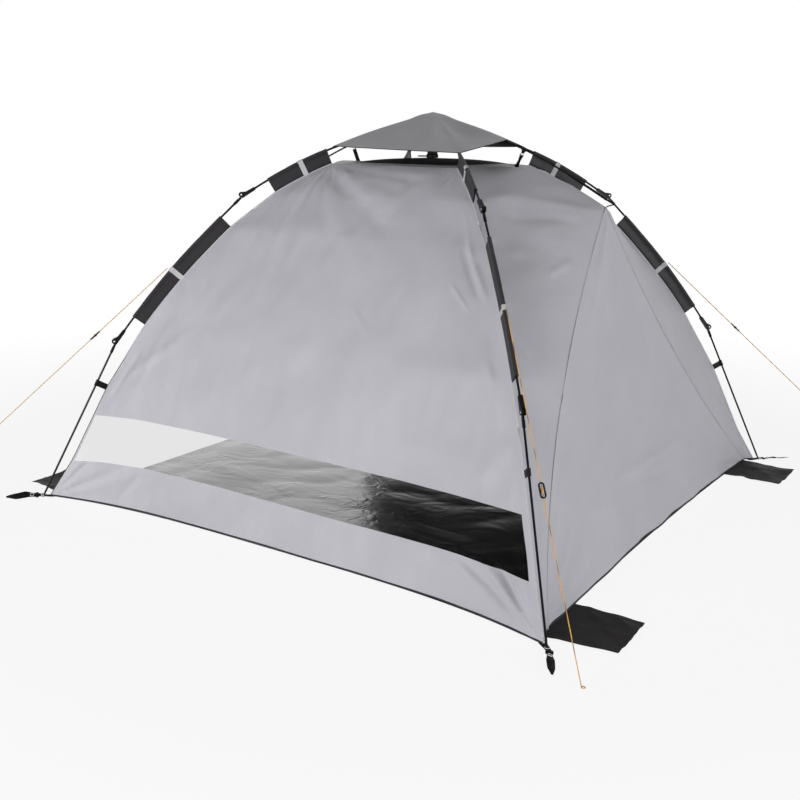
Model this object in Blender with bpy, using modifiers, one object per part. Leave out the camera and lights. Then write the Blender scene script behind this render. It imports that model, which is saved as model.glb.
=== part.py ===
"""Quick-up beach tent: a hub with folding legs and brow rods, and a canopy hung under the frame.

Metres, +Z up. The ground is z = 0, the axis of the hub is x = y = 0 and the entrance faces -Y.
Each leg is drawn once in its own upright plane, where X is the distance from the tent's axis,
Z the height and Y the way round the tent, and is then turned to its corner.
"""
import math

import bmesh
import bpy
from mathutils import Matrix, Vector

# Legs: places are distance from the axis and height, and a fall is the slope of a pole in degrees
FOOT_RADIUS = 1.556
HUB_PIVOT = (0.048, 1.462)
UPPER_RIVET = (0.750, 1.180)
LOWER_RIVET = (1.250, 0.620)
ARM_FALLS = (15.0, 32.5)
MID_FALLS = (44.0, 53.5)
POLE_BEND = 0.42
POLE_RADIUS = 0.00395
TIP_RADIUS = 0.003
TIP_LENGTH = 0.030

# Elbows
RIVET_OFFSET = 0.007
RIVET_RADIUS = 0.002
RIVET_HEAD = (0.0038, 0.0012)
ELBOW_THICKNESS = 0.015
ELBOW_LENGTH = 0.058
ELBOW_WALL = 0.0026
ELBOW_LEAD_IN = 0.8
ELBOW_GATE = 0.026
ELBOW_HEEL = 0.0045
SOCKET_SHARES = (0.85, 0.98)
KNUCKLE_RADIUS = 0.010
KNUCKLE_ARC = (-62.0, 110.0)
SHOULDER = (-0.0208, 0.0006)
POLE_STOP = 0.012
TONGUE_THICKNESS = 0.007
TONGUE_RADIUS = 0.0065
TONGUE_ARC = (-15.0, 250.0)
TONGUE_THROAT = 1.2
NECK_HALF = 0.0045
NECK_LENGTH = 0.022
FERRULE_LENGTH = 0.024
FERRULE_RADIUS = 0.0055
LOWER_SKEW = 2.0
POLE_JOINS = {"arm": 0.12, "mid": 0.05, "brow": 0.08}

# Hub and its runner
HUB_RADIUS = 0.056
HUB_BOTTOM = HUB_PIVOT[1] - 0.010
HUB_TOP = HUB_PIVOT[1] + 0.0105
HUB_EDGE = 0.004
HUB_CHAMFER = 0.003
KNOB_RADIUS = 0.014
KNOB_CROWN = (0.004, 0.009)
SPINDLE_RADIUS = 0.008
SPINDLE_LENGTH = 0.124
SPINDLE_BOTTOM = HUB_BOTTOM - SPINDLE_LENGTH
HUB_EYE = 0.007
HUB_EYE_ARC = (140.0, 220.0)
HUB_TONGUE = 0.0074
ARM_FERRULE_START = 0.045
BROW_FERRULE_START = 0.016
RUNNER_RADIUS = 0.0235
RUNNER_WAIST = 0.020
RUNNER_BOTTOM = SPINDLE_BOTTOM - 0.003
RUNNER_HEIGHT = 0.060
RUNNER_COLLARS = (0.011, 0.012)
RUNNER_SLOPE = 0.005
RUNNER_EDGE = 0.002
ARM_PIN = (0.0760, HUB_PIVOT[1] - 0.004)
RUNNER_PIN = (0.0170, RUNNER_BOTTOM + 0.0705)
LINK_PIN_RADIUS = 0.0015
LINK_THICKNESS = 0.003
LINK_SIDE = 0.0064
LINK_HALF = 0.003
LINK_EYE = 0.0045
OPEN_EYE = (0.0088, 0.0064)
LUG = (0.001, 0.0045)
PULL_AZIMUTH = -57.0
PULL_REACH = 0.055
PULL_HALF = 0.012
PULL_RADIUS = 0.0024
PULL_RISE = 0.006

# Brow rods
BROW_TIP = (0.761, 1.186)
BROW_FALLS = (11.0, 29.0)
BROW_RADIUS = 0.0035
SPRING_SHARES = (0.770, 0.975)
SPRING_RIBS = 14
SPRING_SWELL = (1.22, 1.42)
SPRING_LEAD = 0.004
HOOK_RADIUS = 0.0022
HOOK_REACH = 0.019
HOOK_JOIN = 0.15
HOOK_SWELL = 1.2
BROW_STRAP_SHARE = 0.485
BROW_STRAP = (0.014, 0.002)
BROW_RING_WALL = 0.0022

# Canopy
FABRIC = 0.0015
SEAM_GAP = 0.0012
EDGE_GAPS = {"arm": 0.054, "mid": 0.051, "lower": 0.041}
FOOT_EDGE_GAP = 0.026
HEM_HEIGHT = 0.002
SIDE_HEM_BOW = 0.074
SIDE_BOW_POWER = 1.6
WALL_COLUMNS = 6
WINDOW_MARGINS = (0.010, 0.026)
FILM_GAP = 0.0006
RIDGE = ((0.450, 1.300), (0.600, 1.242), (0.740, 1.170))
REAR_SEAM_BOWS = {"right": 0.145, "left": -0.100}
REAR_SEAM_MARGINS = {"right": 0.092, "left": 0.030}
REAR_HEM = 1.050
REAR_HEM_BOW = 0.024
FRONT_EDGE_HOLLOW = 0.35
VENT_HALF = 0.220
VENT_EDGE = 1.305
VENT_CREST = 1.3215
NET_GAP = 0.0008
CAP_TOP = 1.4995
CAP_CORNER = (0.420, 1.3575)
CAP_BROW = (0.300, 1.410)
CAP_SPOKES = 24
CAP_RINGS = (0.0, 0.35, 0.7, 1.0)

# Sleeves and clips
SLEEVE_RADIUS = 0.0056
SLEEVE_ARC = 135.0
SLEEVE_NECK = 2.4
SLEEVE_BORE_LAP = 0.05
SLEEVE_WEB = 0.001
WEB_GAP = 0.0005
LINE_TAB = (0.020, 0.0030, 0.0178)
CLIP_RADIUS = 0.0068
CLIP_LENGTH = 0.024
CLIP_STRAP = 0.0011

# Ground
SHEET_THICKNESS = 0.0012
SHEET_MARGIN = 0.003
FLAP = (0.780, 1.045)
FLAP_REACH = 1.280
FLAP_SLANT = 0.030
FLAP_SKEW = 0.009
WEBBING = (0.025, 0.0024)
WEBBING_END = 1.700
WEBBING_LAP = (0.05, 0.02)
EYELET_RADIUS = 0.0055
EYELET_SPACING = 0.042

# Guy lines
LINE_RADIUS = 0.0015
LINE_SHARE = 0.53
LINE_BITE = 0.0021
LINE_SAG = 0.001
LINE_ENDS = {
    "front_right": (1.250, -1.580),
    "rear_right": (1.240, 1.268),
    "rear_left": (-1.220, 1.620),
    "front_left": (-1.220, -1.560),
}
LINE_STEPS = 12
LOOP_RADIUS = 0.014
LOOP_TURN = 270.0
LOOP_LEAD = 60.0
LOOP_STEPS = 7
SLIDER_SHARES = {"front_right": 0.30, "rear_right": 0.52, "rear_left": 0.30, "front_left": 0.30}
SLIDER = (0.033, 0.011, 0.0075)
SLIDER_BORE = 0.0026

CLEARANCE = 0.0003
CUT_REACH = 0.04
CORNERS = {"front_right": -45.0, "rear_right": 45.0, "rear_left": 135.0, "front_left": 225.0}
BROWS = {"front": -90.0, "rear": 90.0}
POLE_STEPS = 10

# The rows of the canopy, from the roof to the hem: a pole and a share of its length
STATIONS = (
    ("arm", 0.52),
    ("arm", 0.70),
    ("arm", 0.88),
    ("mid", 0.11),
    ("mid", 0.30),
    ("mid", 0.50),
    ("mid", 0.69),
    ("mid", 0.87),
    ("lower", 0.21),
    ("lower", 0.44),
    ("lower", 0.74),
    ("lower", 1.00),
)
APEX_ROW = 3
SLEEVE_ROWS = {"arm": (0, 2), "mid": (3, 7)}
CLIP_ROW = 8
WINDOW_ROWS = (9, 10)
HEM_ROW = 11


def clear_scene():
    for thing in list(bpy.data.objects):
        bpy.data.objects.remove(thing, do_unlink=True)


def make_collection(name):
    made = bpy.data.collections.new(name)
    bpy.context.scene.collection.children.link(made)
    return made


clear_scene()
TENT = make_collection("beach_tent")
CUTTERS = make_collection("cutters")


def material(name, colour, roughness, metallic=0.0):
    made = bpy.data.materials.new(name)
    made.use_nodes = True
    shader = made.node_tree.nodes["Principled BSDF"]
    shader.inputs["Base Color"].default_value = (*colour, 1.0)
    shader.inputs["Roughness"].default_value = roughness
    shader.inputs["Metallic"].default_value = metallic
    return made


# Shapes


def add(name, data, place=None):
    made = bpy.data.objects.new(name, data)
    made.matrix_world = place or Matrix()
    TENT.objects.link(made)
    return made


def evaluated_mesh(thing):
    """The mesh of an object with its modifiers, its loose caps welded."""
    bpy.context.view_layer.update()
    graph = bpy.context.evaluated_depsgraph_get()
    mesh = bpy.data.meshes.new_from_object(thing.evaluated_get(graph), depsgraph=graph)
    work = bmesh.new()
    work.from_mesh(mesh)
    bmesh.ops.remove_doubles(work, verts=work.verts, dist=1e-6)
    bmesh.ops.recalc_face_normals(work, faces=work.faces)
    work.to_mesh(mesh)
    work.free()
    return mesh


def solid(thing):
    """Replace a curve, or an object with modifiers, with its plain mesh."""
    made = add("solid", evaluated_mesh(thing), thing.matrix_world.copy())
    bpy.data.objects.remove(thing, do_unlink=True)
    return made


def combine(base, tools, operation):
    """Join tools to base, or cut them from it."""
    for tool in tools:
        for holder in list(tool.users_collection):
            holder.objects.unlink(tool)
        CUTTERS.objects.link(tool)
        tool.hide_render = True
        tool.display_type = "WIRE"
        step = base.modifiers.new(operation.lower(), "BOOLEAN")
        step.operation = operation
        step.solver = "EXACT"
        step.object = tool
    return solid(base)


def tube(points, radius, swells=None, sides=8):
    """A closed round bar along points, its radius times each point's swell."""
    curve = bpy.data.curves.new("tube", "CURVE")
    curve.dimensions = "3D"
    curve.bevel_depth = radius
    curve.bevel_resolution = sides // 2 - 2
    curve.use_fill_caps = True
    run = curve.splines.new("POLY")
    run.points.add(len(points) - 1)
    for i, point in enumerate(points):
        run.points[i].co = (*point, 1.0)
        run.points[i].radius = swells[i] if swells else 1.0
    return solid(add("tube", curve))


def plate(outlines, thickness, place=None):
    """A flat piece: the first outline is its edge and the others are holes."""
    curve = bpy.data.curves.new("plate", "CURVE")
    curve.dimensions = "2D"
    curve.fill_mode = "BOTH"
    curve.extrude = thickness / 2
    for outline in outlines:
        run = curve.splines.new("POLY")
        run.points.add(len(outline) - 1)
        for i, (x, y) in enumerate(outline):
            run.points[i].co = (x, y, 0.0, 1.0)
        run.use_cyclic_u = True
    return solid(add("plate", curve, place))


def box(low, high, place=None):
    """A block between two corners."""
    low, high = Vector(low), Vector(high)
    bpy.ops.mesh.primitive_cube_add(size=1.0)
    made = bpy.context.object
    made.data.transform(Matrix.LocRotScale((low + high) / 2, None, high - low))
    made.matrix_world = place or Matrix()
    return made


def rod(start, end, radius, place=None, sides=12):
    """A cylinder from one point to another."""
    start, end = Vector(start), Vector(end)
    along = end - start
    bpy.ops.mesh.primitive_cylinder_add(vertices=sides, radius=radius, depth=along.length)
    made = bpy.context.object
    aim = along.to_track_quat("Z", "Y").to_matrix().to_4x4()
    made.data.transform(Matrix.Translation((start + end) / 2) @ aim)
    made.matrix_world = place or Matrix()
    return made


def turned(profile, closed=False, steps=24):
    """A profile of (radius, height), listed from the top down its outer side, spun round Z."""
    mesh = bpy.data.meshes.new("turned")
    edges = [(i, i + 1) for i in range(len(profile) - 1)]
    if closed:
        edges.append((len(profile) - 1, 0))
    mesh.from_pydata([(r, 0.0, z) for r, z in profile], edges, [])
    made = add("turned", mesh)
    spin = made.modifiers.new("screw", "SCREW")
    spin.steps = steps
    spin.render_steps = steps
    spin.use_merge_vertices = True
    spin.merge_threshold = 1e-5
    return solid(made)


def loft(rows):
    """A closed body through sections that have the same number of points."""
    work = bmesh.new()
    corners = [[work.verts.new(point) for point in row] for row in rows]
    count = len(rows[0])
    for first, second in zip(corners, corners[1:]):
        for i in range(count):
            j = (i + 1) % count
            work.faces.new((first[i], first[j], second[j], second[i]))
    work.faces.new(corners[0])
    work.faces.new(reversed(corners[-1]))
    bmesh.ops.recalc_face_normals(work, faces=work.faces)
    mesh = bpy.data.meshes.new("loft")
    work.to_mesh(mesh)
    work.free()
    return add("loft", mesh)


def arc(centre, radius, start, end, steps):
    """Points of an arc in degrees, both ends included."""
    angles = [math.radians(start + (end - start) * i / steps) for i in range(steps + 1)]
    return [(centre[0] + radius * math.cos(a), centre[1] + radius * math.sin(a)) for a in angles]


def circle(centre, radius, steps=12):
    return arc(centre, radius, 0.0, 360.0 * (steps - 1) / steps, steps - 1)


def cloth(name, look, grids, thickness=FABRIC):
    """A sheet sewn from grids of points that share their edges, each with the cells it leaves out."""
    work = bmesh.new()
    for rows, holes in grids:
        corners = [[work.verts.new(point) for point in row] for row in rows]
        for j in range(len(rows) - 1):
            for i in range(len(rows[j]) - 1):
                if (j, i) not in holes:
                    work.faces.new(
                        (corners[j][i], corners[j][i + 1], corners[j + 1][i + 1], corners[j + 1][i])
                    )
    bmesh.ops.remove_doubles(work, verts=work.verts, dist=1e-5)
    loose = [vert for vert in work.verts if not vert.link_faces]
    bmesh.ops.delete(work, geom=loose, context="VERTS")
    bmesh.ops.recalc_face_normals(work, faces=work.faces)
    mesh = bpy.data.meshes.new(name)
    work.to_mesh(mesh)
    work.free()
    mesh.materials.append(look)
    made = add(name, mesh)
    shell = made.modifiers.new("thickness", "SOLIDIFY")
    shell.thickness = thickness
    shell.offset = 0.0
    shell.use_even_offset = True
    return made


def named(name, thing, look, origin=None):
    """Make a finished solid a sub-part, with its own origin and material."""
    mesh = evaluated_mesh(thing)
    place = origin or Matrix()
    mesh.transform(place.inverted() @ thing.matrix_world)
    bpy.data.objects.remove(thing, do_unlink=True)
    mesh.materials.clear()
    mesh.materials.append(look)
    mesh.shade_smooth()
    mesh.set_sharp_from_angle(angle=math.radians(40.0))
    mesh.name = name
    return add(name, mesh, place)


def turn(azimuth):
    return Matrix.Rotation(math.radians(azimuth), 4, "Z")


def repeated(label, thing, look, pivot, places):
    """Put one piece of a leg or brow rod at each of its places, its origin on its joint."""
    first = None
    for place, azimuth in places.items():
        origin = turn(azimuth) @ Matrix.Translation(pivot)
        if first is None:
            thing.matrix_world = turn(azimuth) @ thing.matrix_world
            first = named(f"{label}_{place}", thing, look, origin)
        else:
            add(f"{label}_{place}", first.data, origin)


# Poles


def flat(place):
    return Vector((place[0], 0.0, place[1]))


def down(fall):
    return Vector((math.cos(math.radians(fall)), 0.0, -math.sin(math.radians(fall))))


def outward(way):
    """The way square to a pole that leads away from the tent."""
    return Vector((-way.z, 0.0, way.x))


class Pole:
    """The axis of a pole: a smooth bend that leaves its start and reaches its end at given ways."""

    def __init__(self, start, first_way, end, last_way, reach=None):
        handle = reach or POLE_BEND * (end - start).length
        self.handles = (start, start + first_way * handle, end - last_way * handle, end)

    def at(self, share):
        a, b, c, d = self.handles
        rest = 1.0 - share
        return a * rest**3 + b * 3 * rest**2 * share + c * 3 * rest * share**2 + d * share**3

    def way(self, share):
        a, b, c, d = self.handles
        rest = 1.0 - share
        return ((b - a) * rest**2 + (c - b) * 2 * rest * share + (d - c) * share**2).normalized()

    def path(self, first=0.0, last=1.0, steps=POLE_STEPS):
        return [self.at(first + (last - first) * i / steps) for i in range(steps + 1)]

    def frame(self, share):
        """X outward, Y against the way round the tent and Z down the pole."""
        way = self.way(share)
        axes = Matrix((outward(way), Vector((0, -1, 0)), way)).transposed().to_4x4()
        return Matrix.Translation(self.at(share)) @ axes


def above(rivet, way):
    """Where a pole stops inside the elbow at its lower end."""
    return rivet - outward(way) * RIVET_OFFSET - way * POLE_STOP


def below(rivet, way):
    """Where a pole starts, inside the ferrule that hangs from an elbow."""
    return rivet - outward(way) * RIVET_OFFSET + way * NECK_LENGTH


def lower_fall():
    """The fall of the straight lower pole, whose axis passes the rivet at its offset."""
    way = flat((FOOT_RADIUS, 0.0)) - flat(LOWER_RIVET)
    return math.degrees(math.atan2(-way.z, way.x) - math.asin(RIVET_OFFSET / way.length))


UPPER, LOWER, PIVOT = flat(UPPER_RIVET), flat(LOWER_RIVET), flat(HUB_PIVOT)
FOOT = flat((FOOT_RADIUS, 0.0))
ARM_WAY, MID_TOP_WAY, MID_WAY = down(ARM_FALLS[1]), down(MID_FALLS[0]), down(MID_FALLS[1])
LOWER_WAY = down(lower_fall())
POLES = {
    "arm": Pole(PIVOT, down(ARM_FALLS[0]), above(UPPER, ARM_WAY), ARM_WAY),
    "mid": Pole(below(UPPER, MID_TOP_WAY), MID_TOP_WAY, above(LOWER, MID_WAY), MID_WAY),
    "lower": Pole(below(LOWER, LOWER_WAY), LOWER_WAY, FOOT, LOWER_WAY),
}
BROW = Pole(PIVOT, down(BROW_FALLS[0]), flat(BROW_TIP), down(BROW_FALLS[1]))


def leg_edge(part, share):
    """The line of the canopy under a leg."""
    pole = POLES[part]
    if part == "lower" and share == 1.0:
        return flat((FOOT_RADIUS - FOOT_EDGE_GAP, HEM_HEIGHT))
    return pole.at(share) - outward(pole.way(share)) * EDGE_GAPS[part]


EDGE = [leg_edge(part, share) for part, share in STATIONS]


def edge_at(row):
    """A point of that line between two rows of the canopy."""
    first = min(int(row), HEM_ROW - 1)
    return EDGE[first].lerp(EDGE[first + 1], row - first)


def hinge_frame(rivet, way, skew_about=None):
    """X down the leg, Y outward and Z along the rivet."""
    axes = Matrix((way, outward(way), Vector((0, -1, 0)))).transposed().to_4x4()
    skew = Matrix.Rotation(math.radians(-LOWER_SKEW), 4, skew_about) if skew_about else Matrix()
    return Matrix.Translation(rivet) @ skew @ axes


UPPER_FRAME = hinge_frame(UPPER, ARM_WAY)
LOWER_FRAME = hinge_frame(LOWER, MID_WAY, outward(LOWER_WAY))


# Legs


def elbow(frame, pole):
    """A moulded elbow: a socket for the pole above, and two cheeks and a rivet for the one below."""
    inner = -RIVET_OFFSET - POLE_RADIUS - ELBOW_WALL
    web = inner + ELBOW_WALL - CLEARANCE * 3
    outline = [(-ELBOW_LENGTH, inner + ELBOW_WALL / 3)]
    outline += [(-ELBOW_LENGTH * ELBOW_LEAD_IN, inner), (ELBOW_HEEL, inner)]
    outline += arc((0.0, 0.0), KNUCKLE_RADIUS, *KNUCKLE_ARC, 6)
    outline += [SHOULDER, (-ELBOW_LENGTH, -RIVET_OFFSET + POLE_RADIUS + ELBOW_WALL / 2)]
    half = TONGUE_THICKNESS / 2 + CLEARANCE * 2
    floor = -TONGUE_RADIUS - CLEARANCE * 4
    cheeks = box((floor, web, -half), (CUT_REACH, CUT_REACH, half), frame)
    gate = box((-ELBOW_GATE, CLEARANCE * 3, -half), (floor + CLEARANCE, CUT_REACH, half), frame)
    end = pole.at(1.0) + pole.way(1.0) * CLEARANCE
    socket = tube(pole.path(*SOCKET_SHARES, 3) + [end], POLE_RADIUS + CLEARANCE)
    body = combine(plate([outline], ELBOW_THICKNESS, frame), [cheeks, gate, socket], "DIFFERENCE")
    side = ELBOW_THICKNESS / 2
    radius, height = RIVET_HEAD
    pin = rod((0, 0, -side), (0, 0, side), RIVET_RADIUS, frame, 10)
    heads = [rod((0, 0, s * (side - height)), (0, 0, s * (side + height)), radius, frame) for s in (-1, 1)]
    return combine(body, [pin, *heads], "UNION")


def hanging_pole(part, frame, bend, cut_foot=False):
    """A pole with the eye, neck and ferrule by which it hangs from the elbow above it."""
    pole = POLES[part]
    low, high = -RIVET_OFFSET - NECK_HALF, -RIVET_OFFSET + NECK_HALF
    end = NECK_LENGTH + FERRULE_RADIUS
    outline = arc((0.0, 0.0), TONGUE_RADIUS, *TONGUE_ARC, 8)
    throat = TONGUE_RADIUS * TONGUE_THROAT
    outline += [(throat, low + NECK_HALF), (throat, low), (end, low), (end, high), (throat, high)]
    hole = circle((0.0, 0.0), RIVET_RADIUS + CLEARANCE, 10)
    eye = plate([outline, hole], TONGUE_THICKNESS, frame @ Matrix.Rotation(math.radians(-bend), 4, "Z"))
    start, way = pole.at(0.0), pole.way(0.0)
    ferrule = rod(start, start + way * FERRULE_LENGTH, FERRULE_RADIUS)
    inside = start + way * POLE_RADIUS
    if not cut_foot:
        shaft = tube([inside] + pole.path(POLE_JOINS[part], 1.0), POLE_RADIUS)
        return combine(shaft, [ferrule, eye], "UNION")
    taper = FOOT - way * TIP_LENGTH
    swells = [1.0, 1.0, 2 * TIP_RADIUS / POLE_RADIUS - 1.0]
    shaft = tube([inside, taper, FOOT + way * TIP_LENGTH], POLE_RADIUS, swells)
    joined = combine(shaft, [ferrule, eye], "UNION")
    ground = box(FOOT - Vector((CUT_REACH, CUT_REACH, CUT_REACH)), FOOT + Vector((CUT_REACH, CUT_REACH, 0)))
    return combine(joined, [ground], "DIFFERENCE")


def hub_tongue(neck_end, way, bracket=False):
    """The flat eye of an arm or brow rod that turns on a pin of the hub."""
    outline = arc((0.0, 0.0), HUB_EYE, *HUB_EYE_ARC, 6)
    outline += [(neck_end, -NECK_HALF), (neck_end, NECK_HALF)]
    if bracket:
        pin = hinge_frame(PIVOT, way).inverted() @ flat(ARM_PIN)
        rise = pin.y + LINK_PIN_RADIUS * 2
        outline += [(pin.x + rise * 2, NECK_HALF), (pin.x + rise, rise), (pin.x - rise / 2, rise)]
        outline += [(pin.x - rise, NECK_HALF)]
    hole = circle((0.0, 0.0), RIVET_RADIUS + CLEARANCE, 10)
    return plate([outline, hole], HUB_TONGUE, hinge_frame(PIVOT, way))


def leg_arm():
    pole = POLES["arm"]
    way = pole.way(0.0)
    start = PIVOT + way * ARM_FERRULE_START
    ferrule = rod(start, start + way * FERRULE_LENGTH, FERRULE_RADIUS)
    tongue = hub_tongue(ARM_FERRULE_START + FERRULE_RADIUS, way, True)
    side = LINK_SIDE + LINK_THICKNESS / 2 + CLEARANCE
    pin = flat(ARM_PIN)
    stub = rod(pin, pin + Vector((0, side, 0)), LINK_PIN_RADIUS)
    shaft = tube([start + way * FERRULE_RADIUS] + pole.path(POLE_JOINS["arm"], 1.0), POLE_RADIUS)
    return combine(shaft, [ferrule, tongue, stub], "UNION")


def hub_link():
    """A flat link between the runner and the bracket of an arm."""
    low, high = flat(RUNNER_PIN), flat(ARM_PIN)
    length = (high - low).length
    way = (high - low).normalized()
    outer, inner = OPEN_EYE
    axes = Matrix((way, outward(way), Vector((0, -1, 0)))).transposed().to_4x4()
    place = Matrix.Translation(low + Vector((0, LINK_SIDE, 0))) @ axes
    spread = math.degrees(math.asin(LINK_HALF / outer))
    small = math.degrees(math.asin(LINK_HALF / LINK_EYE))
    outline = arc((0.0, 0.0), LINK_EYE, small, 360.0 - small, 10)
    outline += arc((length, 0.0), outer, spread - 180.0, 180.0 - spread, 14)
    holes = [circle((0.0, 0.0), LINK_PIN_RADIUS + CLEARANCE, 8), circle((length, 0.0), inner, 14)]
    return plate([outline, *holes], LINK_THICKNESS, place)


def sleeve(part):
    """A fabric pocket round a pole, drawn down to the edge of the canopy."""
    pole = POLES[part]
    first, last = SLEEVE_ROWS[part]
    rows = []
    for i in range(2 * (last - first) + 1):
        row = first + i / 2
        low, high = STATIONS[int(row)][1], STATIONS[min(int(row) + 1, last)][1]
        share = low + (high - low) * (row - int(row))
        centre, foot = pole.at(share), edge_at(row)
        drop = (centre - foot).length - WEB_GAP
        out = (centre - foot).normalized()
        section = arc((0.0, 0.0), SLEEVE_RADIUS, -SLEEVE_ARC, SLEEVE_ARC, 6)
        section += [(-SLEEVE_RADIUS * SLEEVE_NECK, SLEEVE_WEB), (-drop, SLEEVE_WEB)]
        section += [(-drop, -SLEEVE_WEB), (-SLEEVE_RADIUS * SLEEVE_NECK, -SLEEVE_WEB)]
        rows.append([centre + out * x + Vector((0, y, 0)) for x, y in section])
    ends = STATIONS[first][1] - SLEEVE_BORE_LAP, STATIONS[last][1] + SLEEVE_BORE_LAP
    bore = tube(pole.path(*ends, 8), POLE_RADIUS + CLEARANCE)
    return combine(loft(rows), [bore], "DIFFERENCE")


def mid_sleeve():
    """The sleeve of a mid pole, with the band and tab that hold its guy line."""
    length, half, height = LINE_TAB
    frame = POLES["mid"].frame(LINE_SHARE)
    band = rod((0, 0, -length), (0, 0, 0), SLEEVE_RADIUS + FABRIC / 2, frame, 16)
    bore = rod((0, 0, -length * 1.5), (0, 0, length), POLE_RADIUS + CLEARANCE * 2, frame, 8)
    tab = box((SLEEVE_RADIUS - FABRIC / 2, -half, -length), (height, half, 0), frame)
    return combine(combine(sleeve("mid"), [band, tab], "UNION"), [bore], "DIFFERENCE")


def leg_clip():
    """A clip round a lower pole and the strap that ties it to the canopy."""
    share = STATIONS[CLIP_ROW][1]
    reach = EDGE_GAPS["lower"] - WEB_GAP
    lean = math.degrees(math.asin(CLIP_STRAP / CLIP_RADIUS))
    outline = arc((0.0, 0.0), CLIP_RADIUS, lean - 180.0, 180.0 - lean, 14)
    outline += [(-reach, CLIP_STRAP), (-reach, -CLIP_STRAP)]
    hole = circle((0.0, 0.0), POLE_RADIUS + CLEARANCE, 10)
    return plate([outline, hole], CLIP_LENGTH, POLES["lower"].frame(share))


# Hub


def hub_body():
    """The hub: a slotted disc with a pin for each arm and brow rod, a spindle and a knob."""
    seat = CAP_TOP - FABRIC - CLEARANCE
    profile = [
        (0.0, seat),
        (KNOB_RADIUS * 0.5, seat - KNOB_CROWN[0]),
        (KNOB_RADIUS, seat - KNOB_CROWN[1]),
        (KNOB_RADIUS * 0.8, HUB_TOP + HUB_EDGE),
        (KNOB_RADIUS * 1.6, HUB_TOP),
        (HUB_RADIUS - HUB_EDGE * 1.5, HUB_TOP),
        (HUB_RADIUS, HUB_TOP - HUB_EDGE),
        (HUB_RADIUS, HUB_BOTTOM + HUB_CHAMFER),
        (HUB_RADIUS - HUB_CHAMFER, HUB_BOTTOM),
        (SPINDLE_RADIUS * 2, HUB_BOTTOM),
        (SPINDLE_RADIUS, HUB_BOTTOM - HUB_EDGE * 3),
        (SPINDLE_RADIUS, SPINDLE_BOTTOM + HUB_EDGE / 2),
        (SPINDLE_RADIUS - HUB_EDGE / 2, SPINDLE_BOTTOM),
        (0.0, SPINDLE_BOTTOM),
    ]
    half = HUB_TONGUE / 2 + CLEARANCE
    slots, pins = [], []
    for azimuth in (*CORNERS.values(), *BROWS.values()):
        low = (PIVOT.x - HUB_EYE - CLEARANCE * 2, -half, HUB_BOTTOM - CUT_REACH)
        high = (HUB_RADIUS + CUT_REACH, half, PIVOT.z + HUB_EYE + CLEARANCE * 2)
        slots.append(box(low, high, turn(azimuth)))
        across = Vector((0, half * 1.6, 0))
        pins.append(rod(PIVOT - across, PIVOT + across, RIVET_RADIUS, turn(azimuth), 10))
    return combine(combine(turned(profile), slots, "DIFFERENCE"), pins, "UNION")


def hub_runner():
    """The sleeve that slides on the spindle, with a lug for each link and a pull loop."""
    top = RUNNER_BOTTOM + RUNNER_HEIGHT
    bore = SPINDLE_RADIUS + CLEARANCE * 2
    profile = [
        (RUNNER_RADIUS - RUNNER_EDGE, top),
        (RUNNER_RADIUS, top - RUNNER_EDGE),
        (RUNNER_RADIUS, top - RUNNER_COLLARS[1]),
        (RUNNER_WAIST, top - RUNNER_COLLARS[1] - RUNNER_SLOPE),
        (RUNNER_WAIST, RUNNER_BOTTOM + RUNNER_COLLARS[0] + RUNNER_SLOPE),
        (RUNNER_RADIUS, RUNNER_BOTTOM + RUNNER_COLLARS[0]),
        (RUNNER_RADIUS, RUNNER_BOTTOM + RUNNER_EDGE),
        (RUNNER_RADIUS - RUNNER_EDGE, RUNNER_BOTTOM),
        (bore, RUNNER_BOTTOM),
        (bore, top),
    ]
    pieces = []
    pin = flat(RUNNER_PIN)
    outline = arc((pin.x, pin.z), LINK_EYE, 0.0, 180.0, 8)
    foot = top - RUNNER_EDGE
    outline += [(pin.x - LINK_EYE, foot), (pin.x + LINK_EYE, foot)]
    upright = Matrix.Rotation(math.radians(90.0), 4, "X")
    middle = Matrix.Translation((0, sum(LUG) / 2, 0))
    start, end = LUG[0] + CLEARANCE, LINK_SIDE + LINK_THICKNESS / 2 + CLEARANCE
    for azimuth in CORNERS.values():
        pieces.append(plate([outline], LUG[1] - LUG[0], turn(azimuth) @ middle @ upright))
        ends = [pin + Vector((0, y, 0)) for y in (start, end)]
        pieces.append(rod(*ends, LINK_PIN_RADIUS, turn(azimuth), 10))
    root = RUNNER_WAIST - PULL_RADIUS * 2
    loop = [(root, -PULL_HALF)]
    loop += arc((PULL_REACH - PULL_HALF, 0.0), PULL_HALF, -90.0, 90.0, 8)
    loop += [(root, PULL_HALF)]
    way, height = turn(PULL_AZIMUTH), RUNNER_BOTTOM + PULL_RISE
    pieces.append(tube([way @ Vector((x, y, height)) for x, y in loop], PULL_RADIUS))
    return combine(turned(profile, True), pieces, "UNION")


# Brow rods


def hook():
    """The hook at the tip of a brow rod, from its end round to the peak of the canopy."""
    lean = (down(BROW_FALLS[1]) + Vector((0, 0, -1))).normalized()
    away = outward(lean)
    end = flat(RIDGE[-1]) + away * (FABRIC / 2 + HOOK_RADIUS + CLEARANCE * 2)
    return Pole(flat(BROW_TIP), down(BROW_FALLS[1]), end, -away, HOOK_REACH)


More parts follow.
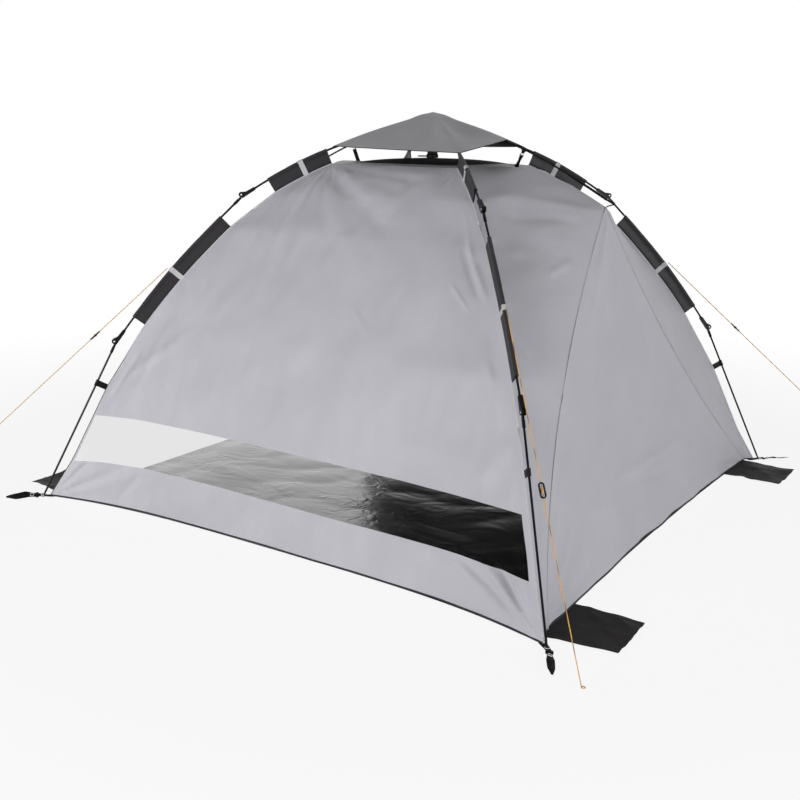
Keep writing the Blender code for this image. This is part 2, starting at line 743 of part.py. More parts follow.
def brow_rod():
    way = BROW.way(0.0)
    start = PIVOT + way * BROW_FERRULE_START
    ferrule = rod(start, start + way * FERRULE_LENGTH, FERRULE_RADIUS)
    tongue = hub_tongue(BROW_FERRULE_START + FERRULE_RADIUS, way)
    first, last = SPRING_SHARES
    points = [start + way * FERRULE_RADIUS, *BROW.path(POLE_JOINS["brow"], first - SPRING_LEAD, 12)]
    swells = [1.0] * len(points)
    for i in range(2 * SPRING_RIBS + 1):
        points.append(BROW.at(first + (last - first) * i / (2 * SPRING_RIBS)))
        swells.append(SPRING_SWELL[i % 2])
    points += [BROW.at(last + SPRING_LEAD), BROW.at(1.0)]
    swells += [1.0, HOOK_RADIUS / BROW_RADIUS * HOOK_SWELL]
    bend = hook().path(HOOK_JOIN, 1.0, 8)
    points += bend
    swells += [HOOK_RADIUS / BROW_RADIUS] * len(bend)
    return combine(tube(points, BROW_RADIUS, swells), [ferrule, tongue], "UNION")


def brow_strap():
    """A ring on a brow rod and the strap that hangs the ridge of the canopy from it."""
    length, half = BROW_STRAP[0] / 2, BROW_STRAP[1] / 2
    frame = BROW.frame(BROW_STRAP_SHARE)
    centre = BROW.at(BROW_STRAP_SHARE)
    ring = rod((0, 0, -length), (0, 0, length), BROW_RADIUS + BROW_RING_WALL, frame, 14)
    low = ridge_height(centre.x) + FABRIC / 2 + WEB_GAP
    strap = box((centre.x - length, -half, low), (centre.x + length, half, centre.z))
    bore = rod((0, 0, -2 * length), (0, 0, 2 * length), BROW_RADIUS + CLEARANCE, frame, 10)
    return combine(combine(ring, [strap], "UNION"), [bore], "DIFFERENCE")


# Canopy


def half_width(row):
    """Half the width of the canopy's square at a row."""
    return edge_at(row).x * math.sqrt(0.5)


def ridge_points():
    return [Vector((half_width(0), 0.0, EDGE[0].z)), *[flat(place) for place in RIDGE]]


def ridge_height(distance):
    """The height of the ridge at a distance from the tent's axis."""
    points = ridge_points()
    for a, b in zip(points, points[1:]):
        if distance <= b.x:
            return a.lerp(b, (distance - a.x) / (b.x - a.x)).z
    return points[-1].z


def side_point(side, row, across):
    """A point of a side wall, with across running from its front edge to its rear edge."""
    half = half_width(row)
    height = edge_at(row).z
    bow = SIDE_HEM_BOW * (1.0 - height / EDGE[0].z) ** SIDE_BOW_POWER * 4 * across * (1 - across)
    return Vector((side * (half - bow), half * (2 * across - 1), height))


def side_columns(row):
    """The columns of a side wall, its window margins included."""
    width = 2 * half_width(row)
    front, rear = WINDOW_MARGINS
    inner = [front / width, *[i / WALL_COLUMNS for i in range(1, WALL_COLUMNS)], 1 - rear / width]
    return [SEAM_GAP / width, *inner, 1 - SEAM_GAP / width]


def side_wall(name, side, look):
    rows = [[side_point(side, row, s) for s in side_columns(row)] for row in range(HEM_ROW + 1)]
    holes = {(WINDOW_ROWS[0], column) for column in range(1, len(rows[0]) - 2)}
    return cloth(name, look, [(rows, holes)])


def window_film(name, side, look):
    """The clear film in the opening of a side wall."""
    top, bottom = WINDOW_ROWS
    inset = FILM_GAP / (EDGE[top] - EDGE[bottom]).length
    rows = []
    for i in range(3):
        row = top + inset + (bottom - top - 2 * inset) * i / 2
        trim = FILM_GAP / (2 * half_width(row))
        columns = side_columns(row)[1:-1]
        columns = [columns[0] + trim, *columns[1:-1], columns[-1] - trim]
        rows.append([side_point(side, row, across) for across in columns])
    return cloth(name, look, [(rows, set())], SHEET_THICKNESS / 2)


def leg_side(row, right, rear):
    """The canopy's line under a leg, one seam gap along the front or rear panel."""
    half = half_width(row)
    return Vector((right * (half - SEAM_GAP), rear * half, edge_at(row).z))


def share_below_apex(row, last):
    top = EDGE[APEX_ROW].z
    return (top - EDGE[row].z) / (top - EDGE[last].z)


def bend_between(a, middle, b, share):
    rest = 1.0 - share
    return a * rest**2 + middle * 2 * rest * share + b * share**2


def rear_meeting(row, right):
    """Where a rear wing ends: on the ridge, and below the peak on its seam."""
    if row <= APEX_ROW:
        point = ridge_points()[row]
        return Vector((0.0, point.x, point.z))
    side = "right" if right > 0 else "left"
    peak = Vector((0.0, *RIDGE[-1]))
    foot = Vector((right * (half_width(HEM_ROW) - REAR_SEAM_MARGINS[side]), REAR_HEM, HEM_HEIGHT))
    middle = (peak + foot) / 2 + Vector((right * 2 * REAR_SEAM_BOWS[side], 0, 0))
    return bend_between(peak, middle, foot, share_below_apex(row, HEM_ROW))


def front_meeting(row, right):
    """Where a front wing ends: on the ridge, and below the peak on the open front edge."""
    if row <= APEX_ROW:
        point = ridge_points()[row]
        return Vector((0.0, -point.x, point.z))
    peak = Vector((0.0, -RIDGE[-1][0], RIDGE[-1][1]))
    foot = leg_side(CLIP_ROW, right, -1)
    leg = leg_side((APEX_ROW + CLIP_ROW) // 2, right, -1)
    middle = ((peak + foot) / 2).lerp(leg, 2 * FRONT_EDGE_HOLLOW)
    return bend_between(peak, middle, foot, share_below_apex(row, CLIP_ROW))


def wing(rows, right, rear, meeting, columns=4):
    return [
        [leg_side(row, right, rear).lerp(meeting(row, right), i / columns) for i in range(columns + 1)]
        for row in rows
    ]


def rear_panel_rows(columns=8):
    """The middle panel of the rear wall, between its two seams, drawn in at the hem."""
    rows = []
    for row in range(APEX_ROW, HEM_ROW + 1):
        a, b = rear_meeting(row, 1), rear_meeting(row, -1)
        sag = REAR_HEM_BOW * share_below_apex(row, HEM_ROW)
        shares = [i / columns for i in range(columns + 1)]
        rows.append([a.lerp(b, s) - Vector((0, sag * 4 * s * (1 - s), 0)) for s in shares])
    return rows


def rear_wall(look):
    every = range(HEM_ROW + 1)
    grids = [(wing(every, right, 1, rear_meeting), set()) for right in (1, -1)]
    grids.append((rear_panel_rows(), set()))
    return cloth("rear_wall", look, grids)


def front_awning(look):
    grids = [(wing(range(CLIP_ROW + 1), right, -1, front_meeting), set()) for right in (1, -1)]
    return cloth("front_awning", look, grids)


def roof_panel(look):
    """The square frame of cloth round the roof vent."""
    outer, inner = half_width(0) - SEAM_GAP, VENT_HALF
    places = [-outer, -inner, -inner / 2, 0.0, inner / 2, inner, outer]
    rows = []
    for y in places:
        heights = [EDGE[0].z if max(abs(x), abs(y)) > inner else VENT_EDGE for x in places]
        rows.append([Vector((x, y, z)) for x, z in zip(places, heights)])
    cells = range(1, len(places) - 2)
    holes = {(j, i) for j in cells for i in cells}
    return cloth("roof_panel", look, [(rows, holes)])


def vent_mesh(look):
    """The mesh that closes the vent, lifted to a crest at its middle."""
    half = VENT_HALF - NET_GAP
    steps = 6
    places = [half * (2 * i / steps - 1) for i in range(steps + 1)]
    rise = VENT_CREST - VENT_EDGE
    rows = [
        [Vector((x, y, VENT_EDGE + rise * (1 - max(abs(x), abs(y)) / half))) for x in places]
        for y in places
    ]
    return cloth("vent_mesh", look, [(rows, set())])


def cap_edge(azimuth):
    """The lower edge of the rain cap: level at the sides, lifted over the brow rods."""
    x, y = math.cos(math.radians(azimuth)), math.sin(math.radians(azimuth))
    half = CAP_CORNER[0] * math.sqrt(0.5)
    if abs(x) >= abs(y) - 1e-6:
        return Vector((math.copysign(half, x), half * y / abs(x), CAP_CORNER[1]))
    lift = 1.0 - abs(x / y)
    depth = half + (CAP_BROW[0] - half) * lift
    height = CAP_CORNER[1] + (CAP_BROW[1] - CAP_CORNER[1]) * lift
    return Vector((depth * x / abs(y), math.copysign(depth, y), height))


def rain_cap(look):
    """The cap that covers the hub, drawn tight over the arms and the brow rods."""
    top = Vector((0, 0, CAP_TOP))
    spokes = [cap_edge(360.0 * i / CAP_SPOKES) for i in range(CAP_SPOKES + 1)]
    rows = [[top.lerp(edge, share) for edge in spokes] for share in CAP_RINGS]
    return cloth("rain_cap", look, [(rows, set())])


# Ground


def floor_outline():
    """The edge of the floor: just outside the hem, and straight across the entrance."""
    side = [side_point(1, HEM_ROW, i / 8) for i in range(8)]
    corner = half_width(HEM_ROW) + SHEET_MARGIN
    rear = rear_panel_rows()[-1]
    outline = [(point.x + SHEET_MARGIN, point.y) for point in side]
    outline += [(corner, corner)]
    outline += [(point.x, point.y + SHEET_MARGIN) for point in rear]
    outline += [(-corner, corner)]
    outline += [(-point.x - SHEET_MARGIN, point.y) for point in reversed(side)]
    return outline


def groundsheet():
    """The floor of the tent with its sand flaps and the webbing at its corners."""
    sheet = plate([floor_outline()], SHEET_THICKNESS, Matrix.Translation((0, 0, SHEET_THICKNESS / 2)))
    near, far = FLAP
    thin = SHEET_THICKNESS - CLEARANCE
    inside = REAR_HEM - REAR_HEM_BOW * 2
    pieces, eyelets = [], []
    for right in (1, -1):
        for rear in (1, -1):
            flap = [(near, inside), (far, inside), (far - FLAP_SLANT, FLAP_REACH)]
            flap += [(near, FLAP_REACH - FLAP_SKEW)]
            outline = [(right * x, rear * y) for x, y in flap]
            pieces.append(plate([outline], thin, Matrix.Translation((0, 0, thin / 2))))
    half, thick = WEBBING[0] / 2, WEBBING[1]
    start = FOOT_RADIUS - FOOT_EDGE_GAP + SHEET_MARGIN * 2
    for azimuth in CORNERS.values():
        lap = (start - WEBBING_LAP[0], -half, 0)
        pieces.append(box(lap, (start + WEBBING_LAP[1], half, thin), turn(azimuth)))
        pieces.append(box((start, -half, 0), (WEBBING_END, half, thick), turn(azimuth)))
        for i in range(2):
            at = FOOT_RADIUS + EYELET_SPACING * i
            eyelets.append(rod((at, 0, -CUT_REACH), (at, 0, CUT_REACH), EYELET_RADIUS, turn(azimuth)))
    return combine(combine(sheet, pieces, "UNION"), eyelets, "DIFFERENCE")


# Guy lines


def line_route(corner):
    """A guy line from its tab on the leg down to a tied loop on the ground."""
    frame = turn(CORNERS[corner]) @ POLES["mid"].frame(LINE_SHARE)
    start = frame @ Vector((LINE_TAB[2] - LINE_BITE, 0, CLEARANCE))
    end = Vector((*LINE_ENDS[corner], LINE_RADIUS + CLEARANCE))
    points = []
    for i in range(LINE_STEPS + 1):
        share = i / LINE_STEPS
        sag = LINE_SAG * 4 * share * (1 - share) ** 2
        points.append(start.lerp(end, share) - Vector((0, 0, sag)))
    heading = math.degrees(math.atan2(end.y - start.y, end.x - start.x))
    centre = end + turn(heading) @ Vector((0, LOOP_RADIUS, 0))
    first = heading - LOOP_LEAD
    loop = arc((centre.x, centre.y), LOOP_RADIUS, first, first + LOOP_TURN, LOOP_STEPS)
    return points + [Vector((x, y, end.z)) for x, y in loop]


def line_frame(corner, share):
    """X along a guy line and Z across it, level."""
    points = line_route(corner)
    place = share * LINE_STEPS
    first = int(place)
    here = points[first].lerp(points[first + 1], place - first)
    way = (points[first + 1] - points[first]).normalized()
    across = way.cross(Vector((0, 0, 1))).normalized()
    return Matrix.Translation(here) @ Matrix((way, across.cross(way), across)).transposed().to_4x4()


def guy_slider(name, corner, look):
    """A line tensioner that slides along its guy line."""
    length, height, thickness = SLIDER
    end = (length - height) / 2
    outline = arc((end, 0.0), height / 2, -90.0, 90.0, 6) + arc((-end, 0.0), height / 2, 90.0, 270.0, 6)
    frame = line_frame(corner, SLIDER_SHARES[corner])
    body = plate([outline], thickness, frame)
    bore = rod((-length, 0, 0), (length, 0, 0), SLIDER_BORE, frame, 10)
    return named(name, combine(body, [bore], "DIFFERENCE"), look, frame)


def build():
    plastic = material("black nylon", (0.012, 0.012, 0.013), 0.45)
    fibre = material("black fibreglass", (0.010, 0.010, 0.011), 0.35)
    steel = material("zinc steel", (0.45, 0.46, 0.47), 0.35, 1.0)
    silver = material("silver coated polyester", (0.46, 0.46, 0.49), 0.55)
    grey = material("grey polyester", (0.21, 0.21, 0.23), 0.60)
    dark = material("dark polyester", (0.028, 0.026, 0.027), 0.65)
    net = material("vent mesh", (0.045, 0.045, 0.048), 0.80)
    clear = material("clear vinyl", (0.80, 0.80, 0.82), 0.10)
    sheet_black = material("black polyethylene", (0.008, 0.008, 0.009), 0.25)
    yellow = material("yellow cord", (0.74, 0.35, 0.03), 0.60)

    named("hub_body", hub_body(), plastic)
    named("hub_runner", hub_runner(), plastic)
    repeated("hub_link", hub_link(), steel, flat(RUNNER_PIN), CORNERS)
    repeated("leg_arm", leg_arm(), fibre, PIVOT, CORNERS)
    repeated("upper_elbow", elbow(UPPER_FRAME, POLES["arm"]), plastic, PIVOT, CORNERS)
    repeated("arm_sleeve", sleeve("arm"), dark, PIVOT, CORNERS)
    bend = MID_FALLS[0] - ARM_FALLS[1]
    repeated("mid_pole", hanging_pole("mid", UPPER_FRAME, bend), fibre, UPPER, CORNERS)
    repeated("lower_elbow", elbow(LOWER_FRAME, POLES["mid"]), plastic, UPPER, CORNERS)
    repeated("mid_sleeve", mid_sleeve(), dark, UPPER, CORNERS)
    bend = lower_fall() - MID_FALLS[1]
    repeated("lower_pole", hanging_pole("lower", LOWER_FRAME, bend, True), fibre, LOWER, CORNERS)
    repeated("leg_clip", leg_clip(), plastic, LOWER, CORNERS)
    repeated("brow_rod", brow_rod(), fibre, PIVOT, BROWS)
    repeated("brow_strap", brow_strap(), dark, PIVOT, BROWS)

    for side, label in ((1, "right"), (-1, "left")):
        side_wall(f"side_wall_{label}", side, silver)
        window_film(f"window_film_{label}", side, clear)
    rear_wall(silver)
    front_awning(silver)
    roof_panel(silver)
    vent_mesh(net)
    rain_cap(grey)
    named("groundsheet", groundsheet(), sheet_black)

    for corner in CORNERS:
        named(f"guy_line_{corner}", tube(line_route(corner), LINE_RADIUS), yellow)
        guy_slider(f"guy_slider_{corner}", corner, plastic)


build()
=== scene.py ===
import math
import bmesh
import bpy
import numpy as np
from mathutils import Matrix, Vector, noise


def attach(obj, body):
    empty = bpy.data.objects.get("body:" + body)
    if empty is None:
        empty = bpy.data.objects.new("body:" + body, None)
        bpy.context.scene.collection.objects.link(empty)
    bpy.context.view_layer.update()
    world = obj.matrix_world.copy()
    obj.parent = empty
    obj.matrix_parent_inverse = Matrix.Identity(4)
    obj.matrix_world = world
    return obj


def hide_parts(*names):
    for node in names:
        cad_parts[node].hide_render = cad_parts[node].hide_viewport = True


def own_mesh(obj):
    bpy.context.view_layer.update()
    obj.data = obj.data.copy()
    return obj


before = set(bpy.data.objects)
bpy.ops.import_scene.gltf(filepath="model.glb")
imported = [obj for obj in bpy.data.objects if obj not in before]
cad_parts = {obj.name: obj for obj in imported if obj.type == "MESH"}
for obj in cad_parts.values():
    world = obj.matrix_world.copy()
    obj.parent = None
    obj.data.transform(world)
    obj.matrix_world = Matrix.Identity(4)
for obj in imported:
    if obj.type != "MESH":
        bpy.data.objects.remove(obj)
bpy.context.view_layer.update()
print("frame loaded")

corners = {"front_right": -45.0, "rear_right": 45.0, "rear_left": 135.0, "front_left": 225.0}
brows = {"front": -90.0, "rear": 90.0}
sides = {"right": 1, "left": -1}


# Materials

def toLinear(code):
    values = [int(code[i:i + 2], 16) / 255 for i in (1, 3, 5)]
    return [v / 12.92 if v <= 0.04045 else ((v + 0.055) / 1.055) ** 2.4 for v in values] + [1.0]


def addNode(tree, kind, settings=None, links=None):
    node = tree.nodes.new("ShaderNode" + kind)
    for key, value in (settings or {}).items():
        if isinstance(key, int) or key in node.inputs:
            node.inputs[key].default_value = value
        else:
            setattr(node, key, value)
    for key, socket in (links or {}).items():
        tree.links.new(socket, node.inputs[key])
    return node


def newMaterial(name, color, roughness, settings=None):
    made = bpy.data.materials.new(name)
    made.use_nodes = True
    tree = made.node_tree
    shader = tree.nodes["Principled BSDF"]
    shader.inputs["Base Color"].default_value = toLinear(color)
    shader.inputs["Roughness"].default_value = roughness
    for key, value in (settings or {}).items():
        shader.inputs[key].default_value = value
    place = addNode(tree, "TexCoord").outputs["Object"]
    return made, tree, shader, place


def paintTones(tree, shader, place, light, dark, scale):
    # cloudy change of tone between two hex colours
    cloud = addNode(tree, "TexNoise", {"Scale": scale, "Detail": 4.0, "Roughness": 0.6},
                    {"Vector": place})
    tone = addNode(tree, "Mix", {"data_type": "RGBA", 6: toLinear(dark), 7: toLinear(light)},
                   {0: cloud.outputs["Fac"]})
    tree.links.new(tone.outputs[2], shader.inputs["Base Color"])
    return tone


def layBumps(tree, shader, heights):
    # bumps laid over each other: (height socket, metres, strength)
    last = None
    for height, distance, strength in heights:
        links = {"Height": height}
        if last:
            links["Normal"] = last.outputs["Normal"]
        last = addNode(tree, "Bump", {"Distance": distance, "Strength": strength}, links)
    tree.links.new(last.outputs["Normal"], shader.inputs["Normal"])


def creases(tree, place, scale, stretch=(1, 1, 1)):
    # sharp lines like those of coated cloth that was packed: the middle of a noise, folded over
    mapped = addNode(tree, "Mapping", {"Scale": stretch}, {"Vector": place})
    cloud = addNode(tree, "TexNoise", {"Scale": scale, "Detail": 2.5, "Roughness": 0.55,
                                       "Distortion": 0.6}, {"Vector": mapped.outputs["Vector"]})
    middle = addNode(tree, "Math", {"operation": "SUBTRACT", 1: 0.5}, {0: cloud.outputs["Fac"]})
    folded = addNode(tree, "Math", {"operation": "ABSOLUTE"}, {0: middle.outputs["Value"]})
    return folded.outputs["Value"]


def patchy(tree, place, height, scale):
    # keeps a height only in some cloudy patches
    cloud = addNode(tree, "TexNoise", {"Scale": scale, "Detail": 1.0}, {"Vector": place})
    mask = addNode(tree, "MapRange", {"From Min": 0.45, "From Max": 0.65},
                   {"Value": cloud.outputs["Fac"]})
    kept = addNode(tree, "Math", {"operation": "MULTIPLY"}, {0: height, 1: mask.outputs["Result"]})
    return kept.outputs["Value"]


def threads(tree, place, spacing):
    # two crossed sets of threads; real ones are 0.3 mm apart, too fine to show, so drawn coarser
    # at scale 1 a wave's bands lie 2 pi / 20 m apart
    waves = []
    for axis in ("X", "Z"):
        wave = addNode(tree, "TexWave", {"bands_direction": axis, "Scale": 6.2832 / (20 * spacing),
                                         "Distortion": 0.4}, {"Vector": place})
        waves.append(wave.outputs["Fac"])
    crossed = addNode(tree, "Math", {"operation": "MAXIMUM"}, {0: waves[0], 1: waves[1]})
    return crossed.outputs["Value"]


def varyRoughness(tree, shader, cloud, low, high):
    span = addNode(tree, "MapRange", {"To Min": low, "To Max": high},
                   {"Value": cloud.outputs["Fac"]})
    tree.links.new(span.outputs["Result"], shader.inputs["Roughness"])


# Polyester taffeta with a silver PU coat: grey, a soft sheen and packing creases; its darker inside
# colour is partly the uncoated back, partly painted shade for the inside of the tent
silverTaffeta = {"light": "#BCBBC2", "dark": "#B0AFB6", "inside": "#76757B", "roughness": 0.56,
                 "threadSpacing": 0.004}


def makeSilver():
    s = silverTaffeta
    made, tree, shader, place = newMaterial("silverCoatedTaffeta", s["light"], s["roughness"], {
        "IOR": 1.5, "Specular IOR Level": 0.3, "Sheen Weight": 0.1, "Sheen Roughness": 0.5})
    tone = paintTones(tree, shader, place, s["light"], s["dark"], 3.0)
    # the back face is darker: partly the uncoated side of the cloth, partly painted shade for the
    # dark inside of the tent
    inside = addNode(tree, "Mix", {"data_type": "RGBA", 7: toLinear(s["inside"])},
                     {0: addNode(tree, "NewGeometry").outputs["Backfacing"], 6: tone.outputs[2]})
    tree.links.new(inside.outputs[2], shader.inputs["Base Color"])
    big = creases(tree, place, 2.6, (1.0, 1.3, 0.8))
    middle = creases(tree, place, 6.0, (1.0, 1.5, 0.7))
    small = patchy(tree, place, creases(tree, place, 19.0, (1.0, 1.3, 0.8)), 1.8)
    weave = threads(tree, place, s["threadSpacing"])
    layBumps(tree, shader, [(big, 0.009, 0.5), (middle, 0.0035, 0.5), (small, 0.0036, 0.7),
                            (weave, 0.0001, 0.3)])
    return made


def makeCloth(name, light, dark, roughness, crease=0.5, sheen=0.1, shine=0.5):
    # plain woven polyester or nylon: crease is the strength of its packing creases
    made, tree, shader, place = newMaterial(name, light, roughness, {
        "IOR": 1.5, "Specular IOR Level": shine, "Sheen Weight": sheen, "Sheen Roughness": 0.5})
    paintTones(tree, shader, place, light, dark, 9.0)
    small = creases(tree, place, 14.0)
    layBumps(tree, shader, [(small, 0.0016, crease), (threads(tree, place, 0.004), 0.0001, 0.4)])
    return made


def makeWebbing(name, light, dark):
    # woven strap: ribs 1.5 mm apart, drawn at 3 mm
    made, tree, shader, place = newMaterial(name, light, 0.75, {
        "IOR": 1.5, "Specular IOR Level": 0.1, "Sheen Weight": 0.02})
    paintTones(tree, shader, place, light, dark, 60.0)
    ribs = addNode(tree, "TexWave", {"bands_direction": "DIAGONAL", "Scale": 105.0},
                   {"Vector": place})
    layBumps(tree, shader, [(ribs.outputs["Fac"], 0.0005, 0.5)])
    return made


def makeMoulded(name, color, roughness):
    # injection moulded: a fine spark-eroded grain, drawn at 2 mm
    made, tree, shader, place = newMaterial(name, color, roughness, {
        "IOR": 1.53, "Specular IOR Level": 0.1})
    cloud = addNode(tree, "TexNoise", {"Scale": 500.0, "Detail": 2.0}, {"Vector": place})
    wear = addNode(tree, "TexNoise", {"Scale": 25.0, "Detail": 3.0}, {"Vector": place})
    varyRoughness(tree, shader, wear, roughness - 0.07, roughness + 0.09)
    layBumps(tree, shader, [(cloud.outputs["Fac"], 0.0002, 0.25)])
    return made


def makePole():
    # pultruded fibreglass, painted black: gloss with faint lines along it
    made, tree, shader, place = newMaterial("paintedFibreglass", "#0C0C0D", 0.3,
                                            {"IOR": 1.5, "Specular IOR Level": 0.08})
    cloud = addNode(tree, "TexNoise", {"Scale": 160.0, "Detail": 3.0}, {"Vector": place})
    paintTones(tree, shader, place, "#101011", "#080809", 30.0)
    layBumps(tree, shader, [(cloud.outputs["Fac"], 0.0002, 0.3)])
    return made


def makeMetal(name, color, roughness):
    # plated steel: bright, with a fine uneven polish
    made, tree, shader, place = newMaterial(name, color, roughness, {"Metallic": 1.0})
    cloud = addNode(tree, "TexNoise", {"Scale": 300.0, "Detail": 3.0}, {"Vector": place})
    varyRoughness(tree, shader, cloud, roughness - 0.08, roughness + 0.1)
    layBumps(tree, shader, [(cloud.outputs["Fac"], 0.0001, 0.2)])
    return made


def makeFloorSheet():
    # blown polyethylene film on a woven base: black, glossy, with crushed creases
    made, tree, shader, place = newMaterial("blackPolyethylene", "#0A0A0B", 0.2,
                                            {"IOR": 1.51, "Specular IOR Level": 0.5})
    paintTones(tree, shader, place, "#0A0A0B", "#050506", 8.0)
    big = creases(tree, place, 3.5, (1.6, 1.0, 1.0))
    small = patchy(tree, place, creases(tree, place, 16.0), 3.0)
    layBumps(tree, shader, [(big, 0.012, 0.5), (small, 0.006, 0.7)])
    return made


def makeVinyl():
    # plasticised PVC film: clear, a little grey, with soft waves
    made, tree, shader, place = newMaterial("clearVinyl", "#1C1C1E", 0.12, {
        "IOR": 1.54, "Alpha": 0.14, "Specular IOR Level": 0.06})
    waves = addNode(tree, "TexNoise", {"Scale": 6.0, "Detail": 2.0}, {"Vector": place})
    layBumps(tree, shader, [(waves.outputs["Fac"], 0.012, 0.5)])
    return made


def makeNet():
    # knitted mesh of 1 mm holes, too fine to show, so part of the light comes through evenly
    made, tree, shader, place = newMaterial("ventNet", "#201F22", 0.8, {
        "IOR": 1.5, "Alpha": 0.93, "Specular IOR Level": 0.2})
    paintTones(tree, shader, place, "#27262A", "#1A191C", 40.0)
    layBumps(tree, shader, [(threads(tree, place, 0.006), 0.0004, 0.6)])
    return made


def makeCordLook():
    # braided polyester, orange yellow, darker in the grooves between the plaits as painted shade:
    # plaits 3 mm long, drawn at 7 mm
    made, tree, shader, place = newMaterial("braidedGuyCord", "#E0A030", 0.6, {
        "IOR": 1.5, "Sheen Weight": 0.2})
    plait = addNode(tree, "TexWave", {"bands_direction": "DIAGONAL", "Scale": 45.0,
                                      "Distortion": 1.0}, {"Vector": place})
    # painted shade: the low part of each plait, where the bump sinks, is coloured dark
    grooveShade = addNode(tree, "ValToRGB", {}, {"Fac": plait.outputs["Fac"]})
    grooveShade.color_ramp.elements[0].color = toLinear("#806028")
    grooveShade.color_ramp.elements[1].color = toLinear("#DCA644")
    grooveShade.color_ramp.elements[1].position = 0.45
    tree.links.new(grooveShade.outputs["Color"], shader.inputs["Base Color"])
    layBumps(tree, shader, [(plait.outputs["Fac"], 0.0006, 0.6)])
    return made


looks = {
    "silver": makeSilver(),
    "cap": makeCloth("greyCapTaffeta", "#96959A", "#88878C", 0.5),
    "lining": makeCloth("blackLining", "#111112", "#0B0B0C", 0.6, 0.5, 0.0, 0.2),
    "sleeve": makeCloth("charcoalNylon", "#2C2A2D", "#1F1D20", 0.5, 0.9, 0.02, 0.2),
    "flap": makeCloth("charcoalFlap", "#252223", "#181617", 0.6, 1.6, 0.0, 0.12),
    "hem": makeWebbing("darkBinding", "#3A3A3E", "#2E2E32"),
    "strap": makeWebbing("lightWebbing", "#C4C4C6", "#B0B0B3"),
    "webbing": makeWebbing("blackWebbing", "#0E0E0F", "#080809"),
    "nylon": makeMoulded("mouldedNylon", "#0C0C0D", 0.42),
    "pole": makePole(),
    "zinc": makeMetal("zincSteel", "#B9BBBD", 0.35),
    "nickel": makeMetal("nickelEyelet", "#A9A7A2", 0.28),
    "floor": makeFloorSheet(),
    "vinyl": makeVinyl(),
    "net": makeNet(),
    "cord": makeCordLook(),
}
print("materials made")


# Shapes shared by the canopy and its poles, in metres

poleSizes = {
    "pivot": (0.048, 1.462), "upperRivet": (0.750, 1.180), "lowerRivet": (1.250, 0.620),
    "foot": 1.556,
    "armFalls": (15.0, 32.5), "midFalls": (44.0, 53.5), "bend": 0.42, "radius": 0.00395,
    "rivetOffset": 0.007, "poleStop": 0.012, "neck": 0.022,
    "browTip": (0.761, 1.186), "browFalls": (11.0, 29.0),
}
canopySizes = {
    "edgeGap": {"arm": 0.054, "mid": 0.051, "lower": 0.041}, "footEdge": (1.530, 0.002),
    "seamGap": 0.0006, "filmGap": 0.0015, "roofSlack": (12, 0.003),
    "rows": [("arm", 0.52), ("arm", 0.70), ("arm", 0.88),
             ("mid", 0.11), ("mid", 0.30), ("mid", 0.50), ("mid", 0.69), ("mid", 0.87),
             ("lower", 0.21), ("lower", 0.44), ("lower", 0.74), ("lower", 1.00)],
    "bands": {"arm": (0.0, 2.5), "mid": (2.5, 7.5), "lower": (7.5, 11.0)},
    "ridgeEnd": 3, "frontEnd": 8, "hemRow": 11,
    "windowRows": (9.0, 10.0), "windowMargins": (0.010, 0.026),
    "windowTop": ((0, 0.10, 0.35, 0.67, 0.89, 1), (0.13, 0.19, 0.155, 0.105, 0.10, 0.11)),
    "windowFoot": ((0, 0.065, 0.16, 0.54, 0.62, 0.84, 1),
                   (-0.045, 0.017, 0.043, 0, -0.008, 0.018, -0.024)),
    "hemBow": 0.092, "bowFlat": 3.5, "bowPower": 1.6,
    "ridge": [(0.450, 1.300), (0.600, 1.242), (0.740, 1.170)],
    "rearSeamBow": {1: 0.145, -1: -0.100}, "rearSeamMargin": {1: 0.092, -1: 0.030},
    "rearHem": 1.050, "rearHemBow": 0.024, "frontHollow": 0.35,
    "ventHalf": 0.220, "ventEdge": 1.305, "ventCrest": 1.3235, "ventDome": 2.6,
    "sideSteps": 150, "sideCrowding": 0.1, "wingSteps": 60, "awningSteps": 36,
    "awningHem": 0.97,
}
halfRoot = math.sqrt(0.5)


def flat(place):
    return Vector((place[0], 0.0, place[1]))


def down(fall):
    return Vector((math.cos(math.radians(fall)), 0.0, -math.sin(math.radians(fall))))


def outward(way):
    return Vector((-way.z, 0.0, way.x))


def turn(azimuth):
    return Matrix.Rotation(math.radians(azimuth), 4, "Z")


def bendBetween(start, firstWay, end, lastWay):
    handle = poleSizes["bend"] * (end - start).length
    return start, start + firstWay * handle, end - lastWay * handle, end


def poleAt(pole, share):
    a, b, c, d = pole
    rest = 1.0 - share
    return a * rest**3 + b * 3 * rest**2 * share + c * 3 * rest * share**2 + d * share**3


def poleWay(pole, share):
    a, b, c, d = pole
    rest = 1.0 - share
    return ((b - a) * rest**2 + (c - b) * 2 * rest * share + (d - c) * share**2).normalized()


def poleFrame(pole, share):
    way = poleWay(pole, share)
    axes = Matrix((outward(way), Vector((0, -1, 0)), way)).transposed().to_4x4()
    return Matrix.Translation(poleAt(pole, share)) @ axes


def layPoles():
    s = poleSizes
    upper, lower, foot = flat(s["upperRivet"]), flat(s["lowerRivet"]), flat((s["foot"], 0.0))
    reach = foot - lower
    fall = math.degrees(math.atan2(-reach.z, reach.x) - math.asin(s["rivetOffset"] / reach.length))
    armTop, armWay, midTop, midWay, lowWay = map(down, (*s["armFalls"], *s["midFalls"], fall))

    def above(rivet, way):
        return rivet - outward(way) * s["rivetOffset"] - way * s["poleStop"]

    def below(rivet, way):
        return rivet - outward(way) * s["rivetOffset"] + way * s["neck"]

    return {
        "arm": bendBetween(flat(s["pivot"]), armTop, above(upper, armWay), armWay),
        "mid": bendBetween(below(upper, midTop), midTop, above(lower, midWay), midWay),
        "lower": bendBetween(below(lower, lowWay), lowWay, foot, lowWay),
    }


poles = layPoles()
browStart, browEnd = map(down, poleSizes["browFalls"])
brow = bendBetween(flat(poleSizes["pivot"]), browStart, flat(poleSizes["browTip"]), browEnd)


